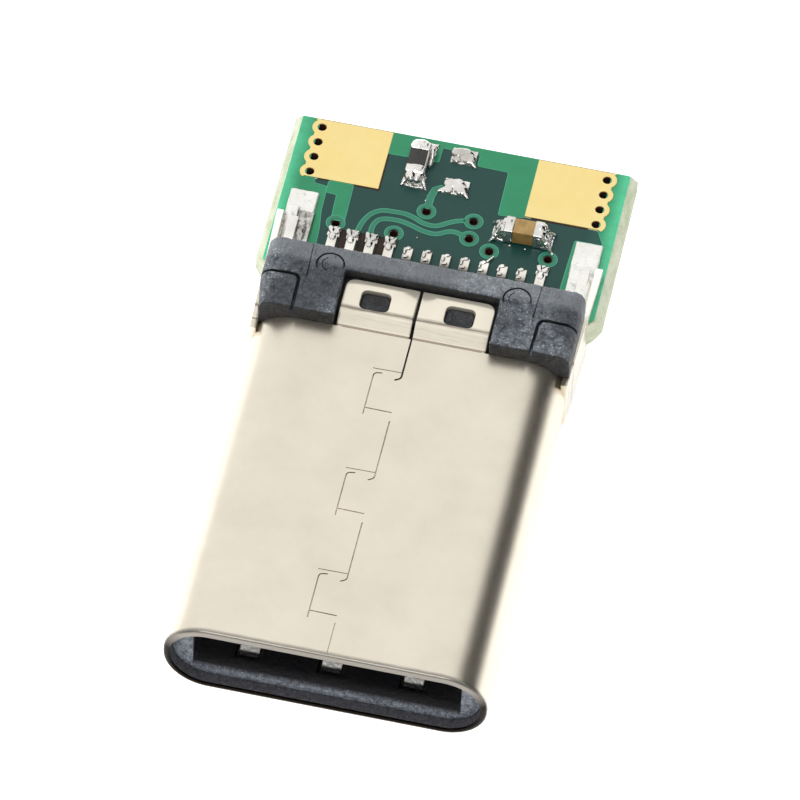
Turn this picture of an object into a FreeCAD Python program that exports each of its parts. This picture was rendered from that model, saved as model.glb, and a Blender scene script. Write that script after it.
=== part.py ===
import FreeCAD, Part
import math
import os
import re
import Sketcher

# USB-C cable plug soldered astride its small wiring board, in millimetres.
# The origin is the centre of the plug's mouth plane, on its mid-plane. +Y runs from the mouth to
# the board's rear edge, +X is to the right seen from the mouth, and +Z is the side with the seam.
# The two halves of the plug, above and below the mid-plane, mirror each other.

# Sizes: name, value, what it measures. A value that starts with = follows other sizes.
SIZES = (
    ("shell_width", "8.25", "folded shell, outside width"),
    ("shell_height", "2.40", "folded shell, outside height"),
    ("end_flat", "0.05", "half of the flat strip between the rounded ends' arcs"),
    ("shell_corner", "=shell_height / 2 - end_flat", "outside radius of the shell's rounded ends"),
    ("sheet", "0.18", "thickness of the shell's steel sheet"),
    ("tube_length", "10.10", "closed tube of the shell, mouth to rear rim"),
    ("lip_round", "0.12", "rounding of the shell's front edge"),
    ("seam_gap", "0.03", "open line between the sheet's interlocking edges"),
    ("seam_right", "0.03", "seam's right line, X"),
    ("seam_left", "-0.68", "seam's left line, X"),
    ("seam_first", "1.26", "first step of the seam, Y"),
    ("seam_tooth", "1.30", "length of one interlocking tooth"),
    ("seam_rest", "1.12", "closed line behind the last tooth"),
    (
        "seam_pitch",
        "=(tube_length - seam_rest - seam_tooth - seam_first) / 2",
        "distance from tooth to tooth",
    ),
    ("tab_reach", "1.95", "rear tabs, half of their joint width"),
    ("tab_length", "1.36", "tabs behind the tube"),
    ("tab_rear", "=tube_length + tab_length", "rear edge of the tabs, Y"),
    ("tab_rise", "0.22", "height of the step in the tabs"),
    ("tab_ramp", "0.42", "length of the step in the tabs"),
    ("tab_bend", "0.12", "radius of the bends in the tabs"),
    ("tab_corner", "0.30", "radius of the tabs' outer rear corners"),
    ("window_x", "1.10", "centre of a tab's window, X"),
    ("window_back", "0.56", "tabs' rear edge to the centre of a window"),
    ("window_y", "=tab_rear - window_back", "centre of a tab's window, Y"),
    ("window_width", "0.76", "window across"),
    ("window_length", "0.60", "window along the plug"),
    ("window_corner", "0.14", "corner radius of the window"),
    ("arm_start", "0.025", "step from the tube's side to a side arm"),
    ("arm_front_x", "=shell_width / 2 + arm_start", "outer face of a side arm where it leaves the tube, X"),
    ("arm_inset", "0.27", "board's side to a side arm's outer face"),
    ("arm_flare", "0.10", "outward run of a side arm along the board"),
    ("arm_rear_x", "=board_half_width - arm_inset", "outer face of a side arm at its rear end, X"),
    ("arm_grip", "1.72", "side arm along the board"),
    ("arm_rear", "=board_front + arm_grip", "rear end of the side arms, Y"),
    ("arm_prong", "0.40", "height of one prong of a side arm"),
    ("arm_half_height", "=board_thickness / 2 + arm_prong", "side arm, half of its height"),
    ("arm_corner", "0.12", "rounding of a side arm's rear corners"),
    ("fit", "0.02", "clearance between pieces that are pushed together"),
    ("housing_front", "0.33", "front face of the inner housing, Y"),
    ("housing_recess", "0.10", "inner housing's rear face inside the tube"),
    ("housing_rear", "=tube_length - housing_recess", "rear face of the inner housing, Y"),
    ("cavity_wall", "0.705", "shell's side to the tongue cavity"),
    ("cavity_half_width", "=shell_width / 2 - cavity_wall", "tongue cavity, half of its width"),
    ("cavity_step", "0.19", "step from the cavity's roof up to a wafer's outer face"),
    ("cavity_half_height", "=wafer_height - cavity_step", "tongue cavity, half of its height"),
    ("cavity_depth", "6.60", "floor of the tongue cavity, Y"),
    ("cavity_corner", "0.12", "corner radius of the tongue cavity"),
    ("lead_length", "0.26", "sloped lead-in at the cavity's mouth, along the plug"),
    ("lead_rise", "0.14", "sloped lead-in at the cavity's mouth, height"),
    ("channel_front", "1.55", "front end of the contact channels, Y"),
    ("channel_play", "0.12", "roof of a channel above the middle of its contact"),
    (
        "channel_roof",
        "=contact_run_z + channel_play",
        "roof of the contact channels, height from the mid-plane",
    ),
    ("wafer_front", "7.50", "front face of the contact wafers, Y"),
    ("wafer_shoulder", "0.34", "cavity wider than a wafer on each side"),
    ("wafer_leg_gap", "0.64", "space between a wafer and a latch leg"),
    (
        "wafer_half_width",
        "=min(cavity_half_width - wafer_shoulder; latch_leg_x - latch_sheet / 2 - wafer_leg_gap)",
        "contact wafer, half of its width",
    ),
    ("wafer_wall", "0.16", "housing wall outside a wafer"),
    ("wafer_height", "=shell_height / 2 - sheet - fit - wafer_wall", "thickness of one contact wafer"),
    ("contacts_per_row", "12", "contacts in one row"),
    ("wafer_edge", "0.08", "wafer beyond the outer contacts' share of its width"),
    ("contact_pitch", "=2 * (wafer_half_width - wafer_edge) / contacts_per_row", "spacing of the contacts"),
    ("contact_width", "0.25", "width of a contact's strip"),
    ("contact_sheet", "0.15", "thickness of a contact's strip"),
    ("contact_tip_y", "1.72", "contact's free tip, Y"),
    ("tip_drop", "0.04", "contact's free tip below its straight run"),
    ("contact_tip_z", "=contact_run_z - tip_drop", "contact's free tip, height of its middle"),
    ("contact_touch_y", "2.25", "place where the contact touches the tongue, Y"),
    ("contact_reach", "0.19", "contact's bend inside the cavity"),
    (
        "contact_touch_z",
        "=cavity_half_height - contact_reach",
        "contact's bend at that place, height of its middle",
    ),
    ("contact_root_y", "6.30", "root of the sprung length, Y"),
    ("contact_cover", "0.14", "wafer outside the middle of a contact"),
    ("contact_run_z", "=wafer_height - contact_cover", "straight run of the contact, height of its middle"),
    ("contact_bend", "0.25", "radius of the contact's bends"),
    ("tail_drop", "0.17", "board's front edge to the tail's upper bend"),
    ("tail_drop_y", "=board_front + tail_drop", "place where the tail starts down to the board, Y"),
    ("tail_slope", "0.25", "length of the tail's slope down to the board"),
    ("tail_foot_y", "=tail_drop_y + tail_slope", "place where the tail's foot starts, Y"),
    ("tail_length", "1.37", "board's front edge to the tails' ends"),
    ("tail_end", "=board_front + tail_length", "end of the tails, Y"),
    ("spring_sheet", "0.10", "thickness of the shield springs"),
    ("spring_front", "1.92", "front edge of a spring's plate, Y"),
    ("spring_rear", "4.18", "rear edge of a spring's plate, Y"),
    ("spring_shoulder", "0.47", "cavity wider than a spring's plate on each side"),
    ("spring_half_width", "=cavity_half_width - spring_shoulder", "spring's plate, half of its width"),
    ("finger_edge", "0.85", "spring plate's side to the middle of its outer finger"),
    ("finger_pitch", "=spring_half_width - finger_edge", "spacing of the three spring fingers"),
    ("finger_width", "0.50", "width of a spring finger"),
    ("finger_touch_y", "1.10", "bend at the finger's tip, Y"),
    ("finger_reach", "0.05", "finger's bend inside the cavity"),
    (
        "finger_touch_z",
        "=cavity_half_height - finger_reach",
        "bend at the finger's tip, height of its middle",
    ),
    ("finger_tip_y", "0.82", "end of the finger, Y"),
    ("finger_lift", "0.10", "rise of a finger's end from its bend"),
    ("finger_tip_z", "=finger_touch_z + finger_lift", "end of the finger, height of its middle"),
    ("finger_bend", "0.15", "radius of the finger's bends"),
    ("finger_window_front", "0.70", "front edge of the finger's window, Y"),
    ("finger_play", "0.10", "space on each side of a finger in its window"),
    ("latch_sheet", "0.26", "thickness of the latch strips"),
    ("latch_half_height", "0.30", "latch beam, half of its height"),
    ("latch_prong", "0.26", "height of one prong of a latch leg"),
    ("latch_leg_half_height", "=board_thickness / 2 + latch_prong", "latch leg, half of its height"),
    ("latch_tip_y", "1.30", "front end of the latch, Y"),
    ("latch_hook_y", "1.80", "crest of the latch's hook, Y"),
    ("latch_hook", "0.29", "reach of the hook inward from the beam"),
    ("latch_hook_x", "=latch_beam_x - latch_hook", "crest of the latch's hook, X of its middle"),
    ("latch_beam_y", "2.60", "place where the hook joins the beam, Y"),
    ("latch_wall", "0.555", "shell's side to the middle of the beam"),
    ("latch_beam_x", "=shell_width / 2 - latch_wall", "latch beam, X of its middle"),
    ("latch_shoulder", "0.20", "housing's rear face to the latch's taller part"),
    ("latch_step_y", "=housing_rear + latch_shoulder", "place where the latch gets its full height, Y"),
    ("latch_lead", "0.40", "tube's rear rim to the latch's outward step"),
    ("latch_jog_front", "=tube_length + latch_lead", "start of the latch's outward step, Y"),
    ("latch_jog", "0.70", "length of the latch's outward step"),
    ("latch_jog_rear", "=latch_jog_front + latch_jog", "end of the latch's outward step, Y"),
    ("latch_inset", "0.72", "board's side to the middle of a latch leg"),
    ("latch_leg_x", "=board_half_width - latch_inset", "latch leg, X of its middle"),
    ("latch_grip", "1.64", "latch leg along the board"),
    ("latch_leg_end", "=board_front + latch_grip", "rear end of the latch legs, Y"),
    ("latch_bend", "0.30", "radius of the latch's bends"),
    ("collar_side", "0.015", "collar beyond the shell's side"),
    ("collar_half_width", "=shell_width / 2 + collar_side", "moulded collar, half of its width"),
    ("collar_rise", "0.45", "collar above the shell"),
    ("collar_half_height", "=shell_height / 2 + collar_rise", "moulded collar, half of its height"),
    ("collar_lap", "0.03", "collar over the tube's rear rim"),
    ("collar_front", "=tube_length - collar_lap", "front face of the collar, Y"),
    ("collar_length", "1.95", "collar behind the tube"),
    ("collar_rear", "=tube_length + collar_length", "rear face of the collar, Y"),
    ("collar_corner", "0.35", "radius of the collar's long edges"),
    ("pocket_play", "0.08", "space round the tabs in the collar's pocket"),
    ("boss_height", "0.08", "height of the bosses in the tabs' windows"),
    ("block_width", "0.99", "corner block across"),
    ("block_inner", "=collar_half_width - block_width", "inner side of a corner block, X"),
    ("block_length", "1.03", "corner block along the plug"),
    ("block_rear", "=collar_front + block_length", "rear side of a corner block, Y"),
    ("block_corner", "0.22", "radius at a corner block's inner rear corner"),
    ("groove_width", "0.07", "groove round a corner block"),
    ("groove_depth", "0.18", "depth of that groove"),
    ("mark_inset", "0.41", "pocket's side to the centre of an ejector mark"),
    ("mark_x", "=tab_reach + pocket_play + mark_inset", "centre of an ejector mark, X"),
    ("mark_back", "0.43", "collar's rear face to the centre of an ejector mark"),
    ("mark_y", "=collar_rear - mark_back", "centre of an ejector mark, Y"),
    ("mark_radius", "0.38", "outer radius of an ejector mark"),
    ("mark_line", "0.05", "line width of an ejector mark"),
    ("mark_depth", "0.04", "depth of an ejector mark"),
    ("board_gap", "0.03", "gap between collar and board"),
    ("board_front", "=collar_rear + board_gap", "front edge of the board, Y"),
    ("board_length", "5.12", "board, front edge to rear edge"),
    ("board_rear", "=board_front + board_length", "rear edge of the board, Y"),
    ("board_half_width", "4.57", "board, half of its width"),
    ("board_thickness", "0.80", "thickness of the board"),
    ("board_bevel", "0.20", "bevel that the scored edge leaves on the board's sides"),
    ("board_notch", "0.40", "chamfer at the board's front corners"),
    ("via_radius", "0.12", "radius of the plated holes"),
    ("pad_inner", "1.95", "inner edge of a wire pad, X"),
    ("pad_inset", "0.57", "board's side to the outer edge of a wire pad"),
    ("pad_outer", "=board_half_width - pad_inset", "outer edge of a wire pad, X"),
    ("pad_length", "1.90", "wire pad along the board"),
    ("pad_front", "=board_rear - pad_margin - pad_length", "front edge of a wire pad, Y"),
    ("pad_margin", "0.03", "board left bare behind a wire pad"),
    ("pad_copper", "0.05", "thickness of a wire pad"),
    ("pad_via_inset", "0.20", "pad's outer edge to the middle of its holes"),
    ("pad_via_x", "=pad_outer - pad_via_inset", "holes in a wire pad, X"),
    ("pad_via_start", "0.13", "pad's front edge to the middle of its first hole"),
    ("pad_via_y", "=pad_front + pad_via_start", "first hole in a wire pad, Y"),
    ("pad_via_pitch", "0.50", "spacing of the holes in a wire pad"),
    ("pad_via_count", "4", "holes in a wire pad"),
    ("pad_via_ring", "0.26", "radius of the copper round those holes"),
    ("via_1_x", "-2.78", "first signal hole, X"),
    ("via_1_back", "1.82", "board's front edge to signal hole 1"),
    ("via_1_y", "=board_front + via_1_back", "first signal hole, Y"),
    ("via_2_x", "-1.24", "second signal hole, X"),
    ("via_2_back", "1.83", "board's front edge to signal hole 2"),
    ("via_2_y", "=board_front + via_2_back", "second signal hole, Y"),
    ("via_3_x", "-0.57", "third signal hole, X"),
    ("via_3_back", "2.73", "board's front edge to signal hole 3"),
    ("via_3_y", "=board_front + via_3_back", "third signal hole, Y"),
    ("via_4_x", "0.69", "fourth signal hole, X"),
    ("via_4_back", "2.69", "board's front edge to signal hole 4"),
    ("via_4_y", "=board_front + via_4_back", "fourth signal hole, Y"),
    ("via_5_x", "0.69", "fifth signal hole, X"),
    ("via_5_back", "2.11", "board's front edge to signal hole 5"),
    ("via_5_y", "=board_front + via_5_back", "fifth signal hole, Y"),
    ("via_6_x", "1.28", "sixth signal hole, X"),
    ("via_6_back", "1.82", "board's front edge to signal hole 6"),
    ("via_6_y", "=board_front + via_6_back", "sixth signal hole, Y"),
    ("via_7_x", "2.81", "seventh signal hole, X"),
    ("via_7_back", "1.92", "board's front edge to signal hole 7"),
    ("via_7_y", "=board_front + via_7_back", "seventh signal hole, Y"),
    ("chip_length", "1.02", "length of the two chips"),
    ("chip_width", "0.52", "width of the two chips"),
    ("chip_cap", "0.25", "metal end cap of a chip, length"),
    ("chip_cap_proud", "0.02", "height of the end cap above the chip's body"),
    ("chip_edge", "0.04", "bevel of the chips' long edges"),
    ("chip_lift", "0.03", "solder film under the chips"),
    ("resistor_x", "-1.10", "centre of the resistor, X"),
    ("resistor_back", "0.94", "board's rear edge to the resistor's centre"),
    ("resistor_y", "=board_rear - resistor_back", "centre of the resistor, Y"),
    ("resistor_height", "0.35", "height of the resistor"),
    ("capacitor_x", "2.06", "centre of the capacitor, X"),
    ("capacitor_gap", "0.73", "wire pad's front edge to the capacitor's centre"),
    ("capacitor_y", "=pad_front - capacitor_gap", "centre of the capacitor, Y"),
    ("capacitor_height", "0.50", "height of the capacitor"),
    ("solder_toe", "0.26", "reach of the solder beyond a chip's end"),
    ("solder_rise", "0.80", "share of the chip's height that its solder climbs"),
    ("solder_overhang", "0.06", "solder wider than the chip on each side"),
    ("spare_x", "0.03", "centre of the two bare pads, X"),
    ("spare_back", "1.70", "board's rear edge to the front bare pad"),
    ("spare_front", "=board_rear - spare_back", "front edge of the front bare pad, Y"),
    ("spare_width", "0.66", "bare pad across"),
    ("spare_length", "0.46", "bare pad along the board"),
    ("spare_pitch", "1.04", "distance between the two bare pads"),
    ("spare_height", "0.12", "height of the solder on a bare pad"),
    ("tail_solder_width", "0.36", "solder round a tail, across"),
    ("tail_solder_start", "0.52", "board's front edge to the solder round the tails"),
    ("tail_solder_front", "=board_front + tail_solder_start", "front end of the solder round a tail, Y"),
    ("tail_solder_height", "0.11", "height of the solder round a tail"),
    ("short_pad", "1.50", "board's front edge to a short pad's end"),
    ("short_solder_end", "=board_front + short_pad", "rear end of the solder on a short pad, Y"),
    ("long_pad", "1.72", "board's front edge to a long pad's end"),
    ("long_solder_end", "=board_front + long_pad", "rear end of the solder on a long pad, Y"),
    ("leg_solder_reach", "0.30", "solder at a latch leg, inward"),
    (
        "leg_solder_inner",
        "=latch_leg_x - latch_sheet / 2 - leg_solder_reach",
        "inner edge of the solder at a latch leg, X",
    ),
    ("leg_solder_rim", "0.05", "solder at a latch leg, outward"),
    (
        "leg_solder_outer",
        "=latch_leg_x + latch_sheet / 2 + leg_solder_rim",
        "outer edge of the solder at a latch leg, X",
    ),
    ("leg_solder_start", "0.12", "board's front edge to that solder"),
    ("leg_solder_front", "=board_front + leg_solder_start", "front edge of that solder, Y"),
    ("leg_solder_length", "2.40", "length of that solder"),
    ("leg_solder_rear", "=leg_solder_front + leg_solder_length", "rear edge of that solder, Y"),
    ("leg_solder_height", "0.10", "height of that solder"),
)

NAMES = {name for name, size, note in SIZES}
SIGNAL_VIAS = range(1, 8)
LONG_PAD_CONTACTS = (1, 2, 3, 4, 12)
ROWS = (("upper", 1), ("lower", -1))
SIDES = (("left", -1), ("right", 1))
FINGERS = "3"
HOLE_SIDES = 12
SEAM_TEETH = 3
TINY = 1e-4
ALONG, UP = FreeCAD.Vector(0, 1, 0), FreeCAD.Vector(0, 0, 1)

# Each origin plane with the sign of its normal along the axis that it faces.
PLANES = {"XY": 1, "XZ": -1, "YZ": 1}

doc = FreeCAD.newDocument("UsbCPlug")
sheet = doc.addObject("Spreadsheet::Sheet", "Sizes")
parts = []


def fill_sheet():
    """Writes the sizes into the spreadsheet, one row each."""
    for row, (name, size, note) in enumerate(SIZES, start=1):
        sheet.set(f"A{row}", name)
        sheet.set(f"C{row}", note)
        sheet.setAlias(f"B{row}", name)
    for row, (name, size, note) in enumerate(SIZES, start=1):
        sheet.set(f"B{row}", size)
    doc.recompute()


# Expressions

def bound(expression):
    """An expression in plain size names, with each name pointing at its cell."""
    return re.sub(r"[a-z]\w*", lambda word: cell(word.group()), str(expression))


def cell(word):
    """The cell of a size name. Any other word, such as min, stays as it is."""
    return f"Sizes.{word}" if word in NAMES else word


def value(expression):
    """The present value of an expression in size names."""
    return float(sheet.evalExpression(bound(expression)))


def mirrored_span(sign, near, far):
    """The lower and upper end of a stretch that lies on the side of the given sign."""
    if sign > 0:
        return near, far
    return f"-({far})", f"-({near})"


def close(one, other):
    """Whether two lengths are the same, to a hair."""
    return abs(one - other) < TINY


# Sketches and features

def new_body(label):
    """An empty body whose label names its piece."""
    body = doc.addObject("PartDesign::Body", label)
    body.Label = label
    body.AllowCompound = True
    parts.append(body)
    return body


def origin_feature(body, role):
    """A plane or an axis of the body's own origin."""
    return next(item for item in body.Origin.OriginFeatures if item.Role == role)


class Drawing:
    """A sketch parallel to an origin plane. Every point and radius in it is an expression."""

    def __init__(self, body, plane, place="0"):
        self.sketch = body.newObject("Sketcher::SketchObject", f"{body.Name}_sketch")
        self.sketch.AttachmentSupport = [(origin_feature(body, f"{plane}_Plane"), "")]
        self.sketch.MapMode = "FlatFace"
        self.sketch.setExpression("AttachmentOffset.Base.z", bound(f"{PLANES[plane]} * ({place})"))
        self.constraints = []
        self.sizes = []

    def relate(self, kind, *where):
        """Notes a relation, such as a tangent, between parts of the sketch."""
        self.constraints.append(Sketcher.Constraint(kind, *where))

    def measure(self, kind, *where, size):
        """Notes a dimension and the expression that gives it."""
        self.sizes.append((len(self.constraints), size))
        self.constraints.append(Sketcher.Constraint(kind, *where, value(size)))

    def place(self, geometry, point, across, up):
        """Ties a point to its two coordinates."""
        self.measure("DistanceX", -1, 1, geometry, point, size=across)
        self.measure("DistanceY", -1, 1, geometry, point, size=up)

    def polyline(self, corners, closed=True):
        """Draws lines from corner to corner, with an arc at each corner that has a radius.

        A corner is (across, up) or (across, up, radius).
        """
        spots = [FreeCAD.Vector(value(corner[0]), value(corner[1]), 0) for corner in corners]
        count = len(corners)
        lines = []
        for here in range(count if closed else count - 1):
            there = (here + 1) % count
            ends = trimmed(spots, corners, here, there), trimmed(spots, corners, there, here)
            lines.append(self.sketch.addGeometry(Part.LineSegment(*ends)))
        for index, corner in enumerate(corners):
            arriving = lines[index - 1] if closed or index > 0 else None
            leaving = lines[index] if index < len(lines) else None
            if len(corner) == 3:
                self.bend(corner, spots[index], arriving, leaving)
            elif arriving is None:
                self.place(leaving, 1, *corner)
            else:
                self.place(arriving, 2, *corner)
                if leaving is not None:
                    self.relate("Coincident", arriving, 2, leaving, 1)

    def bend(self, corner, spot, arriving, leaving):
        """Rounds a corner with an arc that touches both of its lines."""
        across, up, radius = corner
        start = self.sketch.Geometry[arriving].EndPoint
        end = self.sketch.Geometry[leaving].StartPoint
        inward = ((start + end) * 0.5 - spot).normalize()
        centre = spot + inward * math.hypot((start - spot).Length, value(radius))
        turns_left = (spot - start).cross(end - spot).z > 0
        sweep = (start, end) if turns_left else (end, start)
        angles = [math.atan2(point.y - centre.y, point.x - centre.x) for point in sweep]
        circle = Part.Circle(centre, UP, value(radius))
        arc = self.sketch.addGeometry(Part.ArcOfCircle(circle, *angles))
        arc_start, arc_end = (1, 2) if turns_left else (2, 1)
        guide = self.sketch.addGeometry(Part.Point(spot), True)
        self.place(guide, 1, across, up)
        self.relate("PointOnObject", guide, 1, arriving)
        self.relate("PointOnObject", guide, 1, leaving)
        self.relate("Tangent", arriving, 2, arc, arc_start)
        self.relate("Tangent", leaving, 1, arc, arc_end)
        self.measure("Radius", arc, size=radius)

    def circle(self, across, up, radius):
        """Draws a circle."""
        centre = FreeCAD.Vector(value(across), value(up), 0)
        circle = self.sketch.addGeometry(Part.Circle(centre, UP, value(radius)))
        self.place(circle, 3, across, up)
        self.measure("Radius", circle, size=radius)

    def finish(self):
        """Hands the constraints to the sketch, ties the dimensions and returns the sketch."""
        self.sketch.addConstraint(self.constraints)
        for index, size in self.sizes:
            self.sketch.setExpression(f"Constraints[{index}]", bound(size))
        return self.sketch


def trimmed(spots, corners, here, there):
    """The end of the line between two corners, short of the first by its arc's reach."""
    if len(corners[here]) < 3:
        return spots[here]
    before = spots[here] - spots[here - 1]
    after = spots[(here + 1) % len(spots)] - spots[here]
    reach = value(corners[here][2]) * math.tan(before.getAngle(after) / 2)
    return spots[here] + (spots[there] - spots[here]).normalize() * reach


def box_outline(left, low, right, high, *radius):
    """The four corners of a rectangle, rounded if a radius is given."""
    return [(left, low, *radius), (right, low, *radius), (right, high, *radius), (left, high, *radius)]


def centred_outline(width, height, *radius):
    """The four corners of a rectangle round the axis, rounded if a radius is given."""
    half_width, half_height = f"({width}) / 2", f"({height}) / 2"
    return box_outline(f"-{half_width}", f"-{half_height}", half_width, half_height, *radius)


def settle(feature):
    """Recomputes the document and stops at once if the feature failed."""
    doc.recompute()
    if {"Invalid", "Error"} & set(feature.State) or feature.Shape.isNull():
        raise RuntimeError(f"{feature.Name} failed: {feature.getStatusString()}")
    return feature


def prism(body, plane, low, high, outlines=(), circles=(), cut=False):
    """Extrudes outlines and circles from one coordinate of the plane's axis to another."""
    drawing = Drawing(body, plane, low)
    for corners in outlines:
        drawing.polyline(corners)
    for circle in circles:
        drawing.circle(*circle)
    kind = "PartDesign::Pocket" if cut else "PartDesign::Pad"
    feature = body.newObject(kind, f"{body.Name}_{'cut' if cut else 'pad'}")
    feature.Profile = drawing.finish()
    feature.Type = "Length"
    feature.Reversed = (PLANES[plane] < 0) != cut
    feature.setExpression("Length", bound(f"({high}) - ({low})"))
    base = feature.BaseFeature
    settle(feature)
    if cut and feature.Shape.Volume > base.Shape.Volume - TINY ** 2:
        raise RuntimeError(f"{feature.Name} cuts nothing")
    return feature


def strip(body, plane, place, path, start, section):
    """Bends a flat strip: its section, drawn across the plug at the start, follows the path."""
    way = Drawing(body, plane, place)
    way.polyline(path, closed=False)
    spine = way.finish()
    profile = Drawing(body, "XZ", start)
    profile.polyline(section)
    pipe = body.newObject("PartDesign::AdditivePipe", f"{body.Name}_strip")
    pipe.Profile = profile.finish()
    pipe.Spine = (spine, [f"Edge{index + 1}" for index in range(path_edges(path))])
    return settle(pipe)


def path_edges(corners):
    """How many edges a path has: its lines and one arc for each bend."""
    return len(corners) - 1 + sum(len(corner) == 3 for corner in corners)


def repeat(body, feature, pitch, count, axis="X"):
    """Repeats a feature in a row along an axis of the body."""
    pattern = body.newObject("PartDesign::LinearPattern", f"{body.Name}_row")
    pattern.Originals = [feature]
    pattern.Direction = (origin_feature(body, f"{axis}_Axis"), [""])
    pattern.setExpression("Occurrences", bound(count))
    pattern.setExpression("Length", bound(f"({pitch}) * (({count}) - 1)"))
    body.Tip = pattern
    return settle(pattern)


def dress_edges(body, kind, size, wanted):
    """Rounds or bevels the edges of the body that a test picks out."""
    base = body.Tip
    names = [f"Edge{index}" for index, edge in enumerate(base.Shape.Edges, start=1) if wanted(edge)]
    feature = body.newObject(f"PartDesign::{kind}", f"{body.Name}_{kind.lower()}")
    feature.Base = (base, names)
    feature.setExpression("Radius" if kind == "Fillet" else "Size", bound(size))
    body.Tip = feature
    return settle(feature)


def runs_along(edge, axis):
    """Whether an edge is straight and parallel to a direction."""
    return isinstance(edge.Curve, Part.Line) and abs(edge.Curve.Direction.dot(axis)) > 1 - TINY


def contact_x(index):
    """Place of a contact across the plug, counted from the left, from one."""
    return f"contact_pitch * ({index} - (contacts_per_row + 1) / 2)"


# Shell

def seam_outline():
    """The interlocking line of the folded sheet, from the mouth to behind the tabs."""
    half = "seam_gap / 2"
    right_side = [(f"seam_right + {half}", "-lip_round")]
    left_side = [(f"seam_right - {half}", "-lip_round")]
    for tooth in range(SEAM_TEETH):
        near = f"seam_first + {tooth} * seam_pitch"
        far = f"{near} + seam_tooth"
        right_side += [
            (f"seam_right + {half}", f"{near} + {half}"),
            (f"seam_left + {half}", f"{near} + {half}"),
            (f"seam_left + {half}", f"{far} - {half}"),
            (f"seam_right + {half}", f"{far} - {half}"),
        ]
        left_side += [
            (f"seam_right - {half}", f"{near} - {half}"),
            (f"seam_left - {half}", f"{near} - {half}"),
            (f"seam_left - {half}", f"{far} + {half}"),
            (f"seam_right - {half}", f"{far} + {half}"),
        ]
    right_side.append((f"seam_right + {half}", "tab_rear + sheet"))
    left_side.append((f"seam_right - {half}", "tab_rear + sheet"))
    return right_side + left_side[::-1]


def tab_outline(sign):
    """Side view of a rear tab: the sheet steps outward behind the tube and runs on flat."""
    low, high = "shell_height / 2 - sheet", "shell_height / 2"
    ramp_start, ramp_end = "tube_length", "tube_length + tab_ramp"
    root = "tube_length - sheet"
    corners = [
        (root, low),
        (ramp_start, low),
        (ramp_end, f"{low} + tab_rise"),
        ("tab_rear", f"{low} + tab_rise"),
        ("tab_rear", f"{high} + tab_rise"),
        (ramp_end, f"{high} + tab_rise", "tab_bend"),
        (ramp_start, high),
        (root, high),
    ]
    return [(corner[0], f"{sign} * ({corner[1]})", *corner[2:]) for corner in corners]


def build_shell():
    """The shell: one steel sheet folded round and locked along a seam on top."""
    body = new_body("shell")
    outer = centred_outline("shell_width", "shell_height", "shell_corner")
    inner = centred_outline("shell_width - 2 * sheet", "shell_height - 2 * sheet", "shell_corner - sheet")
    prism(body, "XZ", "0", "tube_length", [outer, inner])
    inner_height = value("shell_height / 2 - sheet / 2")
    inner_width = value("shell_width / 2 - sheet / 2")
    dress_edges(body, "Fillet", "lip_round", lambda edge: on_outer_lip(edge, inner_height, inner_width))
    prism(body, "YZ", "-tab_reach", "tab_reach", [tab_outline(1), tab_outline(-1)])
    arms = [arm_outline(side) for name, side in SIDES]
    prism(body, "XY", "-arm_half_height", "arm_half_height", arms)
    corner_y, corner_z = value("arm_rear"), value("arm_half_height")
    dress_edges(
        body, "Fillet", "arm_corner",
        lambda edge: close(edge.CenterOfMass.y, corner_y) and close(abs(edge.CenterOfMass.z), corner_z),
    )
    tab_y, tab_x = value("tab_rear"), value("tab_reach")
    dress_edges(
        body, "Fillet", "tab_corner",
        lambda edge: close(edge.CenterOfMass.y, tab_y) and close(abs(edge.CenterOfMass.x), tab_x),
    )
    slot = box_outline("board_front - fit", "-board_thickness / 2", "arm_rear + sheet", "board_thickness / 2")
    prism(body, "YZ", "-shell_width", "shell_width", [slot], cut=True)
    windows = [window_outline(side, "0") for name, side in SIDES]
    prism(body, "XY", "-shell_height", "shell_height", windows, cut=True)
    prism(body, "XY", "0", "shell_height", [seam_outline()], cut=True)


def arm_outline(side):
    """Outline of a side arm from above: along the tube, outward past the collar, along the board."""
    outer_face = [
        ("arm_front_x", "tube_length - sheet"),
        ("arm_front_x + fit", "latch_jog_front"),
        ("arm_rear_x - arm_flare", "latch_jog_rear"),
        ("arm_rear_x", "arm_rear"),
    ]
    inner_face = [(f"{across} - sheet", along) for across, along in reversed(outer_face)]
    return [(f"{side} * ({across})", along) for across, along in outer_face + inner_face]


def on_outer_lip(edge, inner_height, inner_width):
    """Whether an edge is on the mouth plane, on the outside of the sheet."""
    reach = edge.BoundBox
    highest = max(abs(reach.ZMin), abs(reach.ZMax))
    widest = max(abs(reach.XMin), abs(reach.XMax))
    return close(reach.YMin, 0) and close(reach.YMax, 0) and (highest > inner_height or widest > inner_width)


def window_outline(side, shrink):
    """Outline of a tab's window, made smaller all round by a given amount."""
    across = f"(window_width / 2 - ({shrink}))"
    along = f"(window_length / 2 - ({shrink}))"
    middle = f"{side} * window_x"
    return box_outline(
        f"{middle} - {across}", f"window_y - {along}",
        f"{middle} + {across}", f"window_y + {along}", "window_corner",
    )


# Plastic inside the shell

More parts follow.
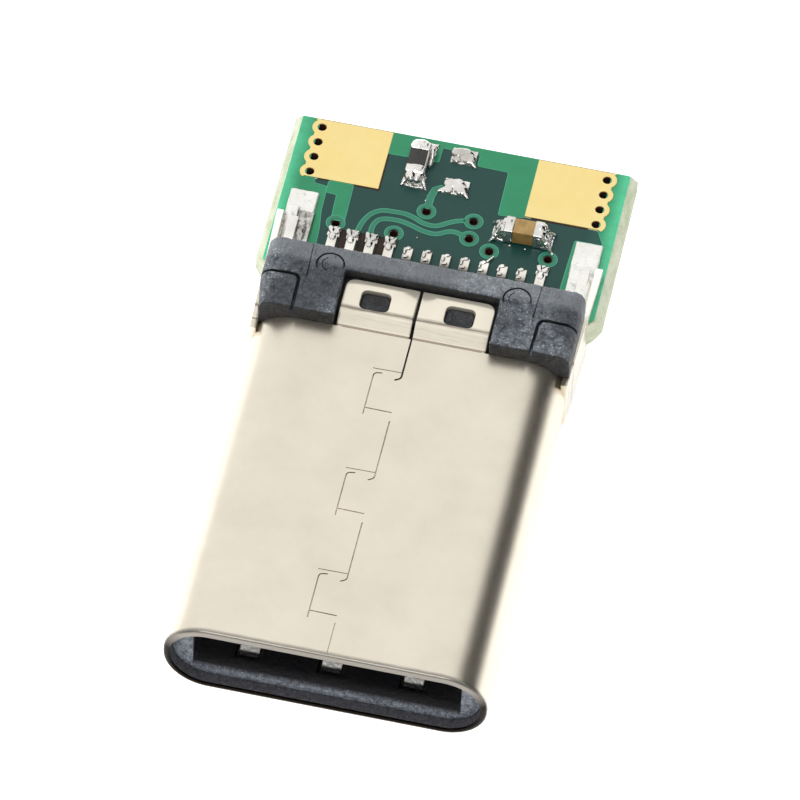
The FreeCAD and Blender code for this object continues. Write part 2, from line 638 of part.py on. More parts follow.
def build_inner_housing():
    """The black moulding with the tongue's cavity, pushed into the shell from behind."""
    body = new_body("inner_housing")
    width = "shell_width - 2 * sheet - 2 * fit"
    height = "shell_height - 2 * sheet - 2 * fit"
    outer = centred_outline(width, height, "shell_corner - sheet - fit")
    prism(body, "XZ", "housing_front", "housing_rear", [outer])
    cavity = centred_outline("2 * cavity_half_width", "2 * cavity_half_height", "cavity_corner")
    prism(body, "XZ", "0", "cavity_depth", [cavity], cut=True)
    lead_ins = [
        [
            ("housing_front - fit", "0"),
            ("housing_front + lead_length", "0"),
            ("housing_front + lead_length", f"{sign} * cavity_half_height"),
            ("housing_front - fit", f"{sign} * (cavity_half_height + lead_rise)"),
        ]
        for name, sign in ROWS
    ]
    prism(body, "YZ", "-cavity_half_width", "cavity_half_width", lead_ins, cut=True)
    for name, sign in ROWS:
        low, high = mirrored_span(sign, "cavity_half_height - cavity_corner", "channel_roof")
        half = "(contact_width / 2 + fit)"
        first = contact_x(1)
        channel = box_outline(f"{first} - {half}", low, f"{first} + {half}", high)
        feature = prism(body, "XZ", "channel_front", "wafer_front", [channel], cut=True)
        repeat(body, feature, "contact_pitch", "contacts_per_row")
    wafers = centred_outline("2 * (wafer_half_width + fit)", "2 * (wafer_height + fit)")
    prism(body, "XZ", "wafer_front", "housing_rear", [wafers], cut=True)
    latch_ways = [
        box_outline(
            *span_across(side, "cavity_half_width - cavity_corner", "-latch_half_height - fit",
                         "latch_beam_x + latch_sheet / 2 + fit", "latch_half_height + fit")
        )
        for name, side in SIDES
    ]
    prism(body, "XZ", "latch_tip_y - latch_sheet", "housing_rear", latch_ways, cut=True)
    for name, sign in ROWS:
        low, high = mirrored_span(sign, "shell_height / 2 - sheet - fit - spring_sheet", "shell_height / 2")
        recess = box_outline("-spring_half_width - fit", low, "spring_half_width + fit", high)
        prism(body, "XZ", "spring_front - fit", "spring_rear + fit", [recess], cut=True)
        low, high = mirrored_span(sign, "cavity_half_height - cavity_corner", "shell_height / 2")
        half = "(finger_width / 2 + finger_play)"
        window = box_outline(f"-finger_pitch - {half}", low, f"-finger_pitch + {half}", high)
        feature = prism(body, "XZ", "finger_window_front", "spring_front", [window], cut=True)
        repeat(body, feature, "finger_pitch", FINGERS)


def span_across(side, near, low, far, high):
    """Left, low, right and high of a rectangle that lies on one side of the plug."""
    left, right = mirrored_span(side, near, far)
    return left, low, right, high


def build_wafer(row, sign):
    """One of the two moulded wafers that hold the contacts of a row."""
    body = new_body(f"{row}_wafer")
    low, high = mirrored_span(sign, "0", "wafer_height")
    block = box_outline("-wafer_half_width", low, "wafer_half_width", high)
    prism(body, "XZ", "wafer_front", "collar_rear", [block])
    low, high = mirrored_span(sign, "contact_run_z - contact_sheet / 2", "contact_run_z + contact_sheet / 2")
    half = "contact_width / 2"
    slot = box_outline(f"{contact_x(1)} - {half}", low, f"{contact_x(1)} + {half}", high)
    feature = prism(body, "XZ", "wafer_front", "collar_rear", [slot], cut=True)
    repeat(body, feature, "contact_pitch", "contacts_per_row")


# Spring metal

def build_contact(row, sign, index):
    """A stamped contact: tail on the board, straight run, sprung bend and lifted tip."""
    body = new_body(f"{row}_contact_{index:02d}")
    foot_z = "board_thickness / 2 + contact_sheet / 2"
    path = [
        ("tail_end", foot_z),
        ("tail_foot_y", foot_z, "contact_bend"),
        ("tail_drop_y", "contact_run_z", "contact_bend"),
        ("contact_root_y", "contact_run_z"),
        ("contact_touch_y", "contact_touch_z", "contact_bend"),
        ("contact_tip_y", "contact_tip_z"),
    ]
    path = [(corner[0], f"{sign} * ({corner[1]})", *corner[2:]) for corner in path]
    across, up = contact_x(index), f"{sign} * ({foot_z})"
    section = box_outline(
        f"{across} - contact_width / 2", f"{up} - contact_sheet / 2",
        f"{across} + contact_width / 2", f"{up} + contact_sheet / 2",
    )
    strip(body, "YZ", across, path, "tail_end", section)


def build_shield_spring(row, sign):
    """A spring plate between housing and shell, with three fingers reaching into the mouth."""
    body = new_body(f"{row}_shield_spring")
    outer_face = "shell_height / 2 - sheet - fit"
    low, high = mirrored_span(sign, f"{outer_face} - spring_sheet", outer_face)
    plate = box_outline("-spring_half_width", "spring_front", "spring_half_width", "spring_rear")
    prism(body, "XY", low, high, [plate])
    plate_z = f"{outer_face} - spring_sheet / 2"
    overlap = "spring_front + 2 * spring_sheet"
    path = [
        (overlap, plate_z),
        ("spring_front - spring_sheet", plate_z, "finger_bend"),
        ("finger_touch_y", "finger_touch_z", "finger_bend"),
        ("finger_tip_y", "finger_tip_z"),
    ]
    path = [(corner[0], f"{sign} * ({corner[1]})", *corner[2:]) for corner in path]
    up = f"{sign} * ({plate_z})"
    section = box_outline(
        "-finger_pitch - finger_width / 2", f"{up} - spring_sheet / 2",
        "-finger_pitch + finger_width / 2", f"{up} + spring_sheet / 2",
    )
    finger = strip(body, "YZ", "-finger_pitch", path, overlap, section)
    repeat(body, finger, "finger_pitch", FINGERS)


def build_latch(name, side):
    """A latch strip on edge: hook in the mouth, beam, and a forked leg astride the board."""
    body = new_body(f"{name}_latch")
    path = [
        ("latch_leg_x", "latch_leg_end"),
        ("latch_leg_x", "latch_jog_rear", "latch_bend"),
        ("latch_beam_x", "latch_jog_front", "latch_bend"),
        ("latch_beam_x", "latch_beam_y", "latch_bend"),
        ("latch_hook_x", "latch_hook_y", "latch_bend"),
        ("latch_beam_x - latch_sheet / 2", "latch_tip_y"),
    ]
    path = [(f"{side} * ({corner[0]})", *corner[1:]) for corner in path]
    section = box_outline(
        *span_across(side, "latch_leg_x - latch_sheet / 2", "-latch_leg_half_height",
                     "latch_leg_x + latch_sheet / 2", "latch_leg_half_height")
    )
    strip(body, "XY", "0", path, "latch_leg_end", section)
    above = box_outline("0", "latch_half_height", "latch_step_y", "shell_height")
    below = box_outline("0", "-shell_height", "latch_step_y", "-latch_half_height")
    half_board = "board_thickness / 2"
    slot = box_outline("board_front - fit", f"-{half_board}", "latch_leg_end + sheet", half_board)
    prism(body, "YZ", "-shell_width", "shell_width", [above, below, slot], cut=True)


# Moulded collar

def build_collar():
    """The grey collar moulded round the shell's rear end, the wafers and the legs."""
    body = new_body("collar")
    outer = centred_outline("2 * collar_half_width", "2 * collar_half_height", "collar_corner")
    prism(body, "XZ", "collar_front", "collar_rear", [outer])
    tube = centred_outline("shell_width", "shell_height", "shell_corner")
    prism(body, "XZ", "collar_front", "tube_length", [tube], cut=True)
    wafers = centred_outline("2 * wafer_half_width", "2 * wafer_height")
    prism(body, "XZ", "tube_length", "collar_rear", [wafers], cut=True)
    build_side_notches(body)
    pocket_side = "tab_reach + pocket_play"
    for name, sign in ROWS:
        low, high = mirrored_span(sign, "shell_height / 2 - sheet + tab_rise", "2 * collar_half_height")
        seat = box_outline(f"-({pocket_side})", "collar_front", pocket_side, "tab_rear + pocket_play")
        prism(body, "XY", low, high, [seat], cut=True)
        low, high = mirrored_span(sign, "shell_height / 2 - sheet", "2 * collar_half_height")
        step = box_outline(f"-({pocket_side})", "collar_front", pocket_side, "tube_length + tab_ramp")
        prism(body, "XY", low, high, [step], cut=True)
        low, high = mirrored_span(
            sign, "shell_height / 2 - sheet + tab_rise", "shell_height / 2 - sheet + tab_rise + boss_height",
        )
        bosses = [window_outline(side, "fit") for side_name, side in SIDES]
        prism(body, "XY", low, high, bosses)
        low, high = mirrored_span(sign, "collar_half_height - groove_depth", "2 * collar_half_height")
        grooves = [groove_outline(side) for side_name, side in SIDES]
        prism(body, "XY", low, high, grooves, cut=True)
    rings = [
        (f"{side} * mark_x", "mark_y", radius)
        for name, side in SIDES
        for radius in ("mark_radius", "mark_radius - mark_line")
    ]
    prism(body, "XY", "collar_half_height - mark_depth", "2 * collar_half_height", circles=rings, cut=True)


def build_side_notches(body):
    """Opens the collar's sides where the latch legs and the shell's arms run."""
    inner = "latch_beam_x - latch_sheet / 2 - fit"
    leg_inner = "latch_leg_x - latch_sheet / 2 - fit"
    beyond = "collar_half_width + board_half_width"
    notches = [
        [
            (f"{side} * ({inner})", "collar_front"),
            (f"{side} * ({inner})", "latch_jog_front"),
            (f"{side} * ({leg_inner})", "latch_jog_rear"),
            (f"{side} * ({leg_inner})", "collar_rear + sheet"),
            (f"{side} * ({beyond})", "collar_rear + sheet"),
            (f"{side} * ({beyond})", "collar_front"),
        ]
        for name, side in SIDES
    ]
    prism(body, "XY", "-arm_half_height - fit", "arm_half_height + fit", notches, cut=True)


def groove_outline(side):
    """The narrow groove that sets off a corner block on its inner and rear sides."""
    beyond = "collar_half_width + sheet"
    corners = [
        ("block_inner", "collar_front - sheet"),
        ("block_inner", "block_rear", "block_corner"),
        (beyond, "block_rear"),
        (beyond, "block_rear + groove_width"),
        ("block_inner - groove_width", "block_rear + groove_width", "block_corner + groove_width"),
        ("block_inner - groove_width", "collar_front - sheet"),
    ]
    return [(f"{side} * ({corner[0]})", *corner[1:]) for corner in corners]


# Board and what is soldered to it

def hole_outline(across, along, radius):
    """Outline of a small plated hole. There are many, so each has a few flat sides."""
    angles = [2 * math.pi * (index + 0.5) / HOLE_SIDES for index in range(HOLE_SIDES)]
    return [
        (f"{across} + {radius} * ({math.cos(angle):.6f})", f"{along} + {radius} * ({math.sin(angle):.6f})")
        for angle in angles
    ]


def row_of_holes(body, side, low, high, radius, cut):
    """The row of holes in a wire pad, or the rings of copper round them."""
    first = hole_outline(f"{side} * pad_via_x", "pad_via_y", radius)
    repeat(body, prism(body, "XY", low, high, [first], cut=cut), "pad_via_pitch", "pad_via_count", "Y")


def build_board():
    """The wiring board, with bevelled sides and its plated holes."""
    body = new_body("circuit_board")
    outline = box_outline("-board_half_width", "board_front", "board_half_width", "board_rear")
    prism(body, "XY", "-board_thickness / 2", "board_thickness / 2", [outline])
    side_x, front_y = value("board_half_width"), value("board_front")
    dress_edges(
        body, "Chamfer", "board_notch",
        lambda edge: runs_along(edge, UP) and close(edge.CenterOfMass.y, front_y),
    )
    dress_edges(
        body, "Chamfer", "board_bevel",
        lambda edge: runs_along(edge, ALONG) and close(abs(edge.CenterOfMass.x), side_x),
    )
    low, high = "-board_thickness / 2", "board_thickness / 2"
    for name, side in SIDES:
        row_of_holes(body, side, low, high, "via_radius", cut=True)
    holes = [hole_outline(f"via_{number}_x", f"via_{number}_y", "via_radius") for number in SIGNAL_VIAS]
    prism(body, "XY", low, high, holes, cut=True)


def build_wire_pad(name, side, sign):
    """A gilded copper pad for a wire. Its outer edge follows the rings round its holes."""
    body = new_body(f"{name}_wire_pad" if sign > 0 else f"{name}_wire_pad_below")
    low, high = mirrored_span(sign, "board_thickness / 2", "board_thickness / 2 + pad_copper")
    left, right = mirrored_span(side, "pad_inner", "pad_outer")
    prism(body, "XY", low, high, [box_outline(left, "pad_front", right, "board_rear - pad_margin")])
    row_of_holes(body, side, low, high, "pad_via_ring", cut=False)
    row_of_holes(body, side, low, high, "via_radius", cut=True)


def build_chip(label, centre_x, centre_y, height, turned):
    """A chip with metal caps on both ends. It lies along the board, or across it if turned."""
    body = new_body(label)
    plane, middle, across = ("YZ", centre_x, centre_y) if turned else ("XZ", centre_y, centre_x)
    low = "(board_thickness / 2 + chip_lift)"
    high = f"({low} + {height})"
    end = "chip_length / 2"
    core = box_outline(
        f"{across} - chip_width / 2 + chip_cap_proud", f"{low} + chip_cap_proud",
        f"{across} + chip_width / 2 - chip_cap_proud", f"{high} - chip_cap_proud",
    )
    prism(body, plane, f"{middle} - {end} + chip_cap", f"{middle} + {end} - chip_cap", [core])
    left, right = f"{across} - chip_width / 2", f"{across} + chip_width / 2"
    cap = [
        (left, f"{low} + chip_edge"),
        (f"{left} + chip_edge", low),
        (f"{right} - chip_edge", low),
        (right, f"{low} + chip_edge"),
        (right, f"{high} - chip_edge"),
        (f"{right} - chip_edge", high),
        (f"{left} + chip_edge", high),
        (left, f"{high} - chip_edge"),
    ]
    prism(body, plane, f"{middle} - {end}", f"{middle} - {end} + chip_cap", [cap])
    prism(body, plane, f"{middle} + {end} - chip_cap", f"{middle} + {end}", [cap])


def build_chip_solder(label, centre_x, centre_y, height, turned):
    """The two solder fillets that climb the ends of a chip."""
    body = new_body(label)
    base = "board_thickness / 2"
    climb = f"({base} + chip_lift + solder_rise * {height})"
    toe = "(chip_length / 2 + solder_toe)"
    end = "(chip_length / 2)"
    half_width = "(chip_width / 2 + solder_overhang)"
    film = f"({base} + chip_lift)"
    plane = "XZ" if turned else "YZ"
    middle, across = (centre_x, centre_y) if turned else (centre_y, centre_x)
    wedges = [
        [
            (f"{middle} + {way} * {end}", base),
            (f"{middle} + {way} * {toe}", base),
            (f"{middle} + {way} * {toe}", film),
            (f"{middle} + {way} * ({end} + solder_toe / 3)", f"{film} + ({climb} - {film}) / 3"),
            (f"{middle} + {way} * {end}", climb),
        ]
        for way in (-1, 1)
    ]
    prism(body, plane, f"{across} - {half_width}", f"{across} + {half_width}", wedges)


def build_spare_pads():
    """Solder on the two pads that carry no chip."""
    body = new_body("bare_pad_solder")
    pads = [
        box_outline(
            "spare_x - spare_width / 2", f"spare_front + {index} * spare_pitch",
            "spare_x + spare_width / 2", f"spare_front + {index} * spare_pitch + spare_length",
        )
        for index in range(2)
    ]
    base = "board_thickness / 2"
    prism(body, "XY", base, f"{base} + spare_height", pads)
    top = value(f"{base} + spare_height")
    dress_edges(body, "Chamfer", "spare_height / 2", lambda edge: close(edge.BoundBox.ZMin, top))


def build_tail_solder(row, sign):
    """Solder round the tails of one row. Where a signal hole follows, the pad is longer."""
    body = new_body(f"{row}_tail_solder")
    base = "board_thickness / 2"
    low, high = mirrored_span(sign, base, f"{base} + tail_solder_height")
    lumps = []
    for index in range(1, round(value("contacts_per_row")) + 1):
        rear = "long_solder_end" if index in LONG_PAD_CONTACTS else "short_solder_end"
        middle = contact_x(index)
        lumps.append([
            (f"{middle} - contact_width / 2", "tail_solder_front"),
            (f"{middle} - contact_width / 2", "tail_end"),
            (f"{middle} + contact_width / 2", "tail_end"),
            (f"{middle} + contact_width / 2", "tail_solder_front"),
            (f"{middle} + tail_solder_width / 2", "tail_solder_front"),
            (f"{middle} + tail_solder_width / 2", rear),
            (f"{middle} - tail_solder_width / 2", rear),
            (f"{middle} - tail_solder_width / 2", "tail_solder_front"),
        ])
    prism(body, "XY", low, high, lumps)


def build_leg_solder(name, side):
    """Solder between a latch leg and the board, above and below it."""
    body = new_body(f"{name}_leg_solder")
    leg_inner = "latch_leg_x - latch_sheet / 2"
    leg_outer = "latch_leg_x + latch_sheet / 2"
    corners = [
        ("leg_solder_inner", "leg_solder_front"),
        (leg_inner, "leg_solder_front"),
        (leg_inner, "latch_leg_end"),
        (leg_outer, "latch_leg_end"),
        (leg_outer, "leg_solder_front"),
        ("leg_solder_outer", "leg_solder_front"),
        ("leg_solder_outer", "leg_solder_rear"),
        ("leg_solder_inner", "leg_solder_rear"),
    ]
    corners = [(f"{side} * ({across})", along) for across, along in corners]
    base = "board_thickness / 2"
    for row, sign in ROWS:
        low, high = mirrored_span(sign, base, f"{base} + leg_solder_height")
        prism(body, "XY", low, high, [corners])


# The whole plug

def build_all():
    """Builds every piece."""
    build_shell()
    build_inner_housing()
    build_collar()
    build_board()
    for row, sign in ROWS:
        build_wafer(row, sign)
        build_shield_spring(row, sign)
        build_tail_solder(row, sign)
        for index in range(1, round(value("contacts_per_row")) + 1):
            build_contact(row, sign, index)
    for name, side in SIDES:
        build_latch(name, side)
        build_leg_solder(name, side)
        for row, sign in ROWS:
            build_wire_pad(name, side, sign)
    build_chip("chip_resistor", "resistor_x", "resistor_y", "resistor_height", turned=False)
    build_chip("chip_capacitor", "capacitor_x", "capacitor_y", "capacitor_height", turned=True)
    build_chip_solder("resistor_solder", "resistor_x", "resistor_y", "resistor_height", turned=False)
    build_chip_solder("capacitor_solder", "capacitor_x", "capacitor_y", "capacitor_height", turned=True)
    build_spare_pads()


def check_and_write():
    """Stops on a failed feature or an unsound shape, then writes one file for each piece."""
    faults = [item.Name for item in doc.Objects if {"Invalid", "Error"} & set(item.State)]
    faults += [body.Label for body in parts if body.Shape.isNull() or not body.Shape.isValid()]
    if faults:
        raise RuntimeError("failed: " + ", ".join(faults))
    os.makedirs("parts", exist_ok=True)
    for body in parts:
        body.Shape.exportStep(f"parts/{body.Label}.step")
        print(f"{body.Label}: {len(body.Shape.Solids)} solid, {body.Shape.Volume:.4f} mm3")


fill_sheet()
build_all()
doc.recompute()
check_and_write()
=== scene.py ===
"""Looks of a small cable plug soldered astride its wiring board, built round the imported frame.

Lengths in this file are millimetres in the frame's axes: the mouth faces -Y, the seam is on top (+Z).
They become metres when a mesh is made.
"""

import logging
import math
from collections.abc import Iterable, Sequence
from dataclasses import dataclass
from enum import Enum

import bmesh
import bpy
from mathutils import Matrix, Vector, noise

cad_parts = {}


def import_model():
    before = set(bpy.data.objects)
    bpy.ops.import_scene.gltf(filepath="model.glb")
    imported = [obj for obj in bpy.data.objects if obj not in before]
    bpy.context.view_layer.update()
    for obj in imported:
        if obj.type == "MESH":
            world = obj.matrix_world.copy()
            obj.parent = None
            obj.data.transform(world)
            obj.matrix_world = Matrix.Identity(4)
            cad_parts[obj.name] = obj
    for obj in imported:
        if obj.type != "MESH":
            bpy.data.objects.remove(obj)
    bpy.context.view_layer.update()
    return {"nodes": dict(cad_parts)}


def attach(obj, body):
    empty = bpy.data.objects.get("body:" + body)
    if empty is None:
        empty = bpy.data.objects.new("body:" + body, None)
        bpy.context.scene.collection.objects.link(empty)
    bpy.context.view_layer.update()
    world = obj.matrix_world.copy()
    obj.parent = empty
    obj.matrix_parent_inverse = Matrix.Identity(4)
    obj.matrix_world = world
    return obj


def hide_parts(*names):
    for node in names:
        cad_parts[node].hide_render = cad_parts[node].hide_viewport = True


LOG = logging.getLogger("plug")

MM = 0.001
ROOT = "root"
UPPER, LOWER = 1, -1
SIDES = (-1, 1)
CONTACTS = range(1, 13)
LONG_PADS = (1, 2, 3, 4, 12)

Spot = tuple[float, float]
Outline = list[Spot]
Colour = tuple[float, float, float]
Mesh = bpy.types.Mesh
Piece = bpy.types.Object
Socket = bpy.types.NodeSocket
Material = bpy.types.Material

# Colours of painted shade: deep inside the mouth, in creases and recesses, on faces turned from the light, and in the
# creases of metal.
DEEP_BLACK: Colour = (0.004, 0.004, 0.006)
NEAR_BLACK: Colour = (0.006, 0.006, 0.007)
CREASE_SHADE: Colour = (0.03, 0.028, 0.024)

RESISTOR_SPOT: Spot = (-1.10, 16.26)
CAPACITOR_SPOT: Spot = (2.06, 14.54)


# Plane figures


def arc(centre: Spot, radius: float, start: float, end: float, steps: int) -> Outline:
    """Points along an arc.

    Args:
        centre: Middle of the circle.
        radius: Radius of the circle.
        start: First angle in degrees.
        end: Last angle in degrees.
        steps: Number of straight pieces.

    Returns:
        The points from start to end.
    """
    angles = [math.radians(start + (end - start) * i / steps) for i in range(steps + 1)]
    return [(centre[0] + radius * math.cos(a), centre[1] + radius * math.sin(a)) for a in angles]


def circle(centre: Spot, radius: float, steps: int = 40) -> Outline:
    """Points round a full circle, without the repeated last one."""
    return arc(centre, radius, 0, 360, steps)[:-1]


def rounded(corners: Sequence[Spot], radius: float, steps: int = 6, closed: bool = True) -> Outline:
    """Rounds the corners of a line of points.

    Args:
        corners: The corners in order.
        radius: Radius of each rounding, made smaller where two corners are close.
        steps: Straight pieces in each rounding.
        closed: Whether the last corner is joined to the first.

    Returns:
        The points of the rounded line.
    """
    points: Outline = []
    count = len(corners)
    for i, corner in enumerate(corners):
        if not closed and i in (0, count - 1):
            points.append(corner)
            continue
        here = Vector(corner)
        before, after = Vector(corners[i - 1]) - here, Vector(corners[(i + 1) % count]) - here
        if before.normalized().dot(after.normalized()) < -0.999:
            points.append(corner)
            continue
        reach = min(radius, 0.49 * before.length, 0.49 * after.length)
        first, last = here + before.normalized() * reach, here + after.normalized() * reach
        for step in range(steps + 1):
            t = step / steps
            spot = first * (1 - t) ** 2 + here * (2 * t * (1 - t)) + last * t**2
            points.append((spot.x, spot.y))
    return points


def box(left: float, low: float, right: float, high: float) -> Outline:
    """The four corners of a rectangle."""
    return [(left, low), (right, low), (right, high), (left, high)]


def stroke(line: Sequence[Spot], width: float) -> Outline:
    """The outline of a line drawn with a round pen.

    Args:
        line: The points that the pen follows.
        width: Width of the pen.

    Returns:
        A closed outline with round ends.
    """
    half = width / 2
    spots = [Vector(p) for p in line]
    sides: list[Outline] = [[], []]
    for i, spot in enumerate(spots):
        way = (spots[min(i + 1, len(spots) - 1)] - spots[max(i - 1, 0)]).normalized()
        across = Vector((-way.y, way.x)) * half
        sides[0].append((spot.x + across.x, spot.y + across.y))
        sides[1].append((spot.x - across.x, spot.y - across.y))
    first, last = spots[0] - spots[1], spots[-1] - spots[-2]
    head, tail = (math.degrees(math.atan2(v.y, v.x)) for v in (last, first))
    cap_end = arc(tuple(spots[-1]), half, head + 90, head - 90, 6)[1:-1]
    cap_start = arc(tuple(spots[0]), half, tail + 90, tail - 90, 6)[1:-1]
    return sides[0] + cap_end + sides[1][::-1] + cap_start


def mirrored(outline: Outline) -> Outline:
    """The same outline on the other side of the plug."""
    return [(-x, y) for x, y in reversed(outline)]


# Making meshes


def link(mesh: Mesh, name: str) -> Piece:
    """An object in the scene for a mesh."""
    piece = bpy.data.objects.new(name, mesh)
    bpy.context.scene.collection.objects.link(piece)
    return piece


def settled(mesh: Mesh, name: str, sharp: float = 35.0) -> Piece:
    """Turns a mesh drawn in millimetres into a smooth-shaded object in metres.

    Args:
        mesh: The mesh, in millimetres.
        name: Name of the piece.
        sharp: Edges that bend more than this many degrees stay crisp.

    Returns:
        The object.
    """
    mesh.transform(Matrix.Scale(MM, 4))
    mesh.shade_smooth()
    mesh.set_sharp_from_angle(angle=math.radians(sharp))
    mesh.name = name
    return link(mesh, name)


def evaluated(source: Piece) -> Mesh:
    """The mesh of an object with its modifiers applied. The object itself is removed."""
    bpy.context.view_layer.update()
    graph = bpy.context.evaluated_depsgraph_get()
    mesh = bpy.data.meshes.new_from_object(source.evaluated_get(graph))
    data = source.data
    bpy.data.objects.remove(source)
    if data.users == 0:
        (bpy.data.curves if isinstance(data, bpy.types.Curve) else bpy.data.meshes).remove(data)
    return mesh


def plate_mesh(
    outlines: Iterable[Outline], low: float, high: float, bevel: float = 0.0, grow: float = 0.0,
) -> Mesh:
    """A flat plate with bevelled rims. Outlines inside others become holes.

    Args:
        outlines: The closed outlines.
        low: Height of the underside.
        high: Height of the top.
        bevel: Size of the bevel along every rim.
        grow: How far every rim is moved outward.

    Returns:
        The mesh, in millimetres.
    """
    curve = bpy.data.curves.new("plate", "CURVE")
    curve.dimensions = "2D"
    curve.fill_mode = "BOTH"
    curve.extrude = (high - low) / 2 - bevel
    curve.bevel_depth = bevel
    curve.bevel_resolution = 1
    curve.offset = grow - bevel
    for outline in outlines:
        spline = curve.splines.new("POLY")
        spline.points.add(len(outline) - 1)
        for point, (x, y) in zip(spline.points, outline):
            point.co = (x, y, 0, 1)
        spline.use_cyclic_u = True
    mesh = evaluated(link_curve(curve))
    mesh.transform(Matrix.Translation((0, 0, (low + high) / 2)))
    return welded(mesh)


def link_curve(curve: bpy.types.Curve) -> Piece:
    """A passing object for a curve."""
    holder = bpy.data.objects.new("passing", curve)
    bpy.context.scene.collection.objects.link(holder)
    return holder


def welded(mesh: Mesh, distance: float = 1e-4) -> Mesh:
    """Merges points that lie on one another and makes all faces look outward."""
    work = bmesh.new()
    work.from_mesh(mesh)
    bmesh.ops.remove_doubles(work, verts=work.verts, dist=distance)
    bmesh.ops.recalc_face_normals(work, faces=work.faces)
    work.to_mesh(mesh)
    work.free()
    return mesh


def plate(name: str, outlines: Iterable[Outline], low: float, high: float, bevel: float = 0.0) -> Piece:
    """A flat plate as a piece of the scene."""
    return settled(plate_mesh(outlines, low, high, bevel), name, 12)


def merged(meshes: Iterable[Mesh], name: str) -> Mesh:
    """One mesh made of several, which are removed."""
    work = bmesh.new()
    for mesh in meshes:
        work.from_mesh(mesh)
        bpy.data.meshes.remove(mesh)
    whole = bpy.data.meshes.new(name)
    work.to_mesh(whole)
    work.free()
    return whole


def grooves(strokes: Iterable[tuple[Outline, float]], top: float, above: float) -> Mesh:
    """The cutter for grooves in a level surface.

    Args:
        strokes: Outlines, each with the depth of its groove.
        top: Height of the surface.
        above: How far the cutter stands out of it.

    Returns:
        The cutter, in millimetres.
    """
    return merged((plate_mesh([outline], top - depth, top + above) for outline, depth in strokes), "cutter")


def joined(name: str, meshes: Sequence[Mesh], sharp: float = 35.0) -> Piece:
    """One object made of several meshes drawn in millimetres."""
    return settled(merged(meshes, name), name, sharp)


def cut(mesh: Mesh, cutter: Mesh) -> Mesh:
    """Takes the cutter's volume away from a mesh. Both are in millimetres."""
    target, tool = link(mesh, "target"), link(cutter, "cutter")
    change = target.modifiers.new("cut", "BOOLEAN")
    change.operation = "DIFFERENCE"
    change.solver = "EXACT"
    change.use_self = True
    change.object = tool
    result = evaluated(target)
    bpy.data.objects.remove(tool)
    bpy.data.meshes.remove(cutter)
    return result


def loft(rings: Sequence[Sequence[tuple[float, float, float]]], closed: bool) -> Mesh:
    """Joins rings of points into a skin.

    Args:
        rings: Rings with the same number of points each.
        closed: Whether the last ring is joined to the first, which makes a ring-shaped body. If not,
            both end rings are filled.

    Returns:
        The mesh, in millimetres.
    """
    size = len(rings[0])
    verts = [point for ring in rings for point in ring]
    faces = []
    for i in range(len(rings) if closed else len(rings) - 1):
        here, there = i * size, (i + 1) % len(rings) * size
        for j in range(size):
            k = (j + 1) % size
            faces.append((here + j, here + k, there + k, there + j))
    if not closed:
        faces.append(tuple(range(size))[::-1])
        faces.append(tuple(range((len(rings) - 1) * size, len(rings) * size)))
    mesh = bpy.data.meshes.new("loft")
    mesh.from_pydata(verts, [], faces)
    return welded(mesh, 1e-6)


def reskinned(mesh: Mesh, voxel: float, rounds: int) -> Mesh:
    """Merges overlapping bodies into one even skin and rounds its edges.

    Args:
        mesh: The bodies, in millimetres.
        voxel: Cell size of the new skin.
        rounds: How often the skin is smoothed.

    Returns:
        The new mesh, in millimetres.
    """
    holder = link(mesh, "skin")
    skin = holder.modifiers.new("skin", "REMESH")
    skin.mode = "VOXEL"
    skin.voxel_size = voxel
    if rounds:
        calm = holder.modifiers.new("calm", "SMOOTH")
        calm.factor = 0.5
        calm.iterations = rounds
    return evaluated(holder)


def roughen(mesh: Mesh, swells: Sequence[tuple[float, float]], seed: float) -> None:
    """Moves the points of a mesh in and out by an even noise.

    Args:
        mesh: The mesh, in millimetres.
        swells: For each layer of noise, its features per millimetre and its height.
        seed: Shifts the pattern.
    """
    shift = Vector((seed, seed * 0.7, -seed))
    normals = [vert.normal.copy() for vert in mesh.vertices]
    for vert, normal in zip(mesh.vertices, normals):
        spot = vert.co
        vert.co = spot + normal * sum(height * noise.noise(spot * scale + shift) for scale, height in swells)


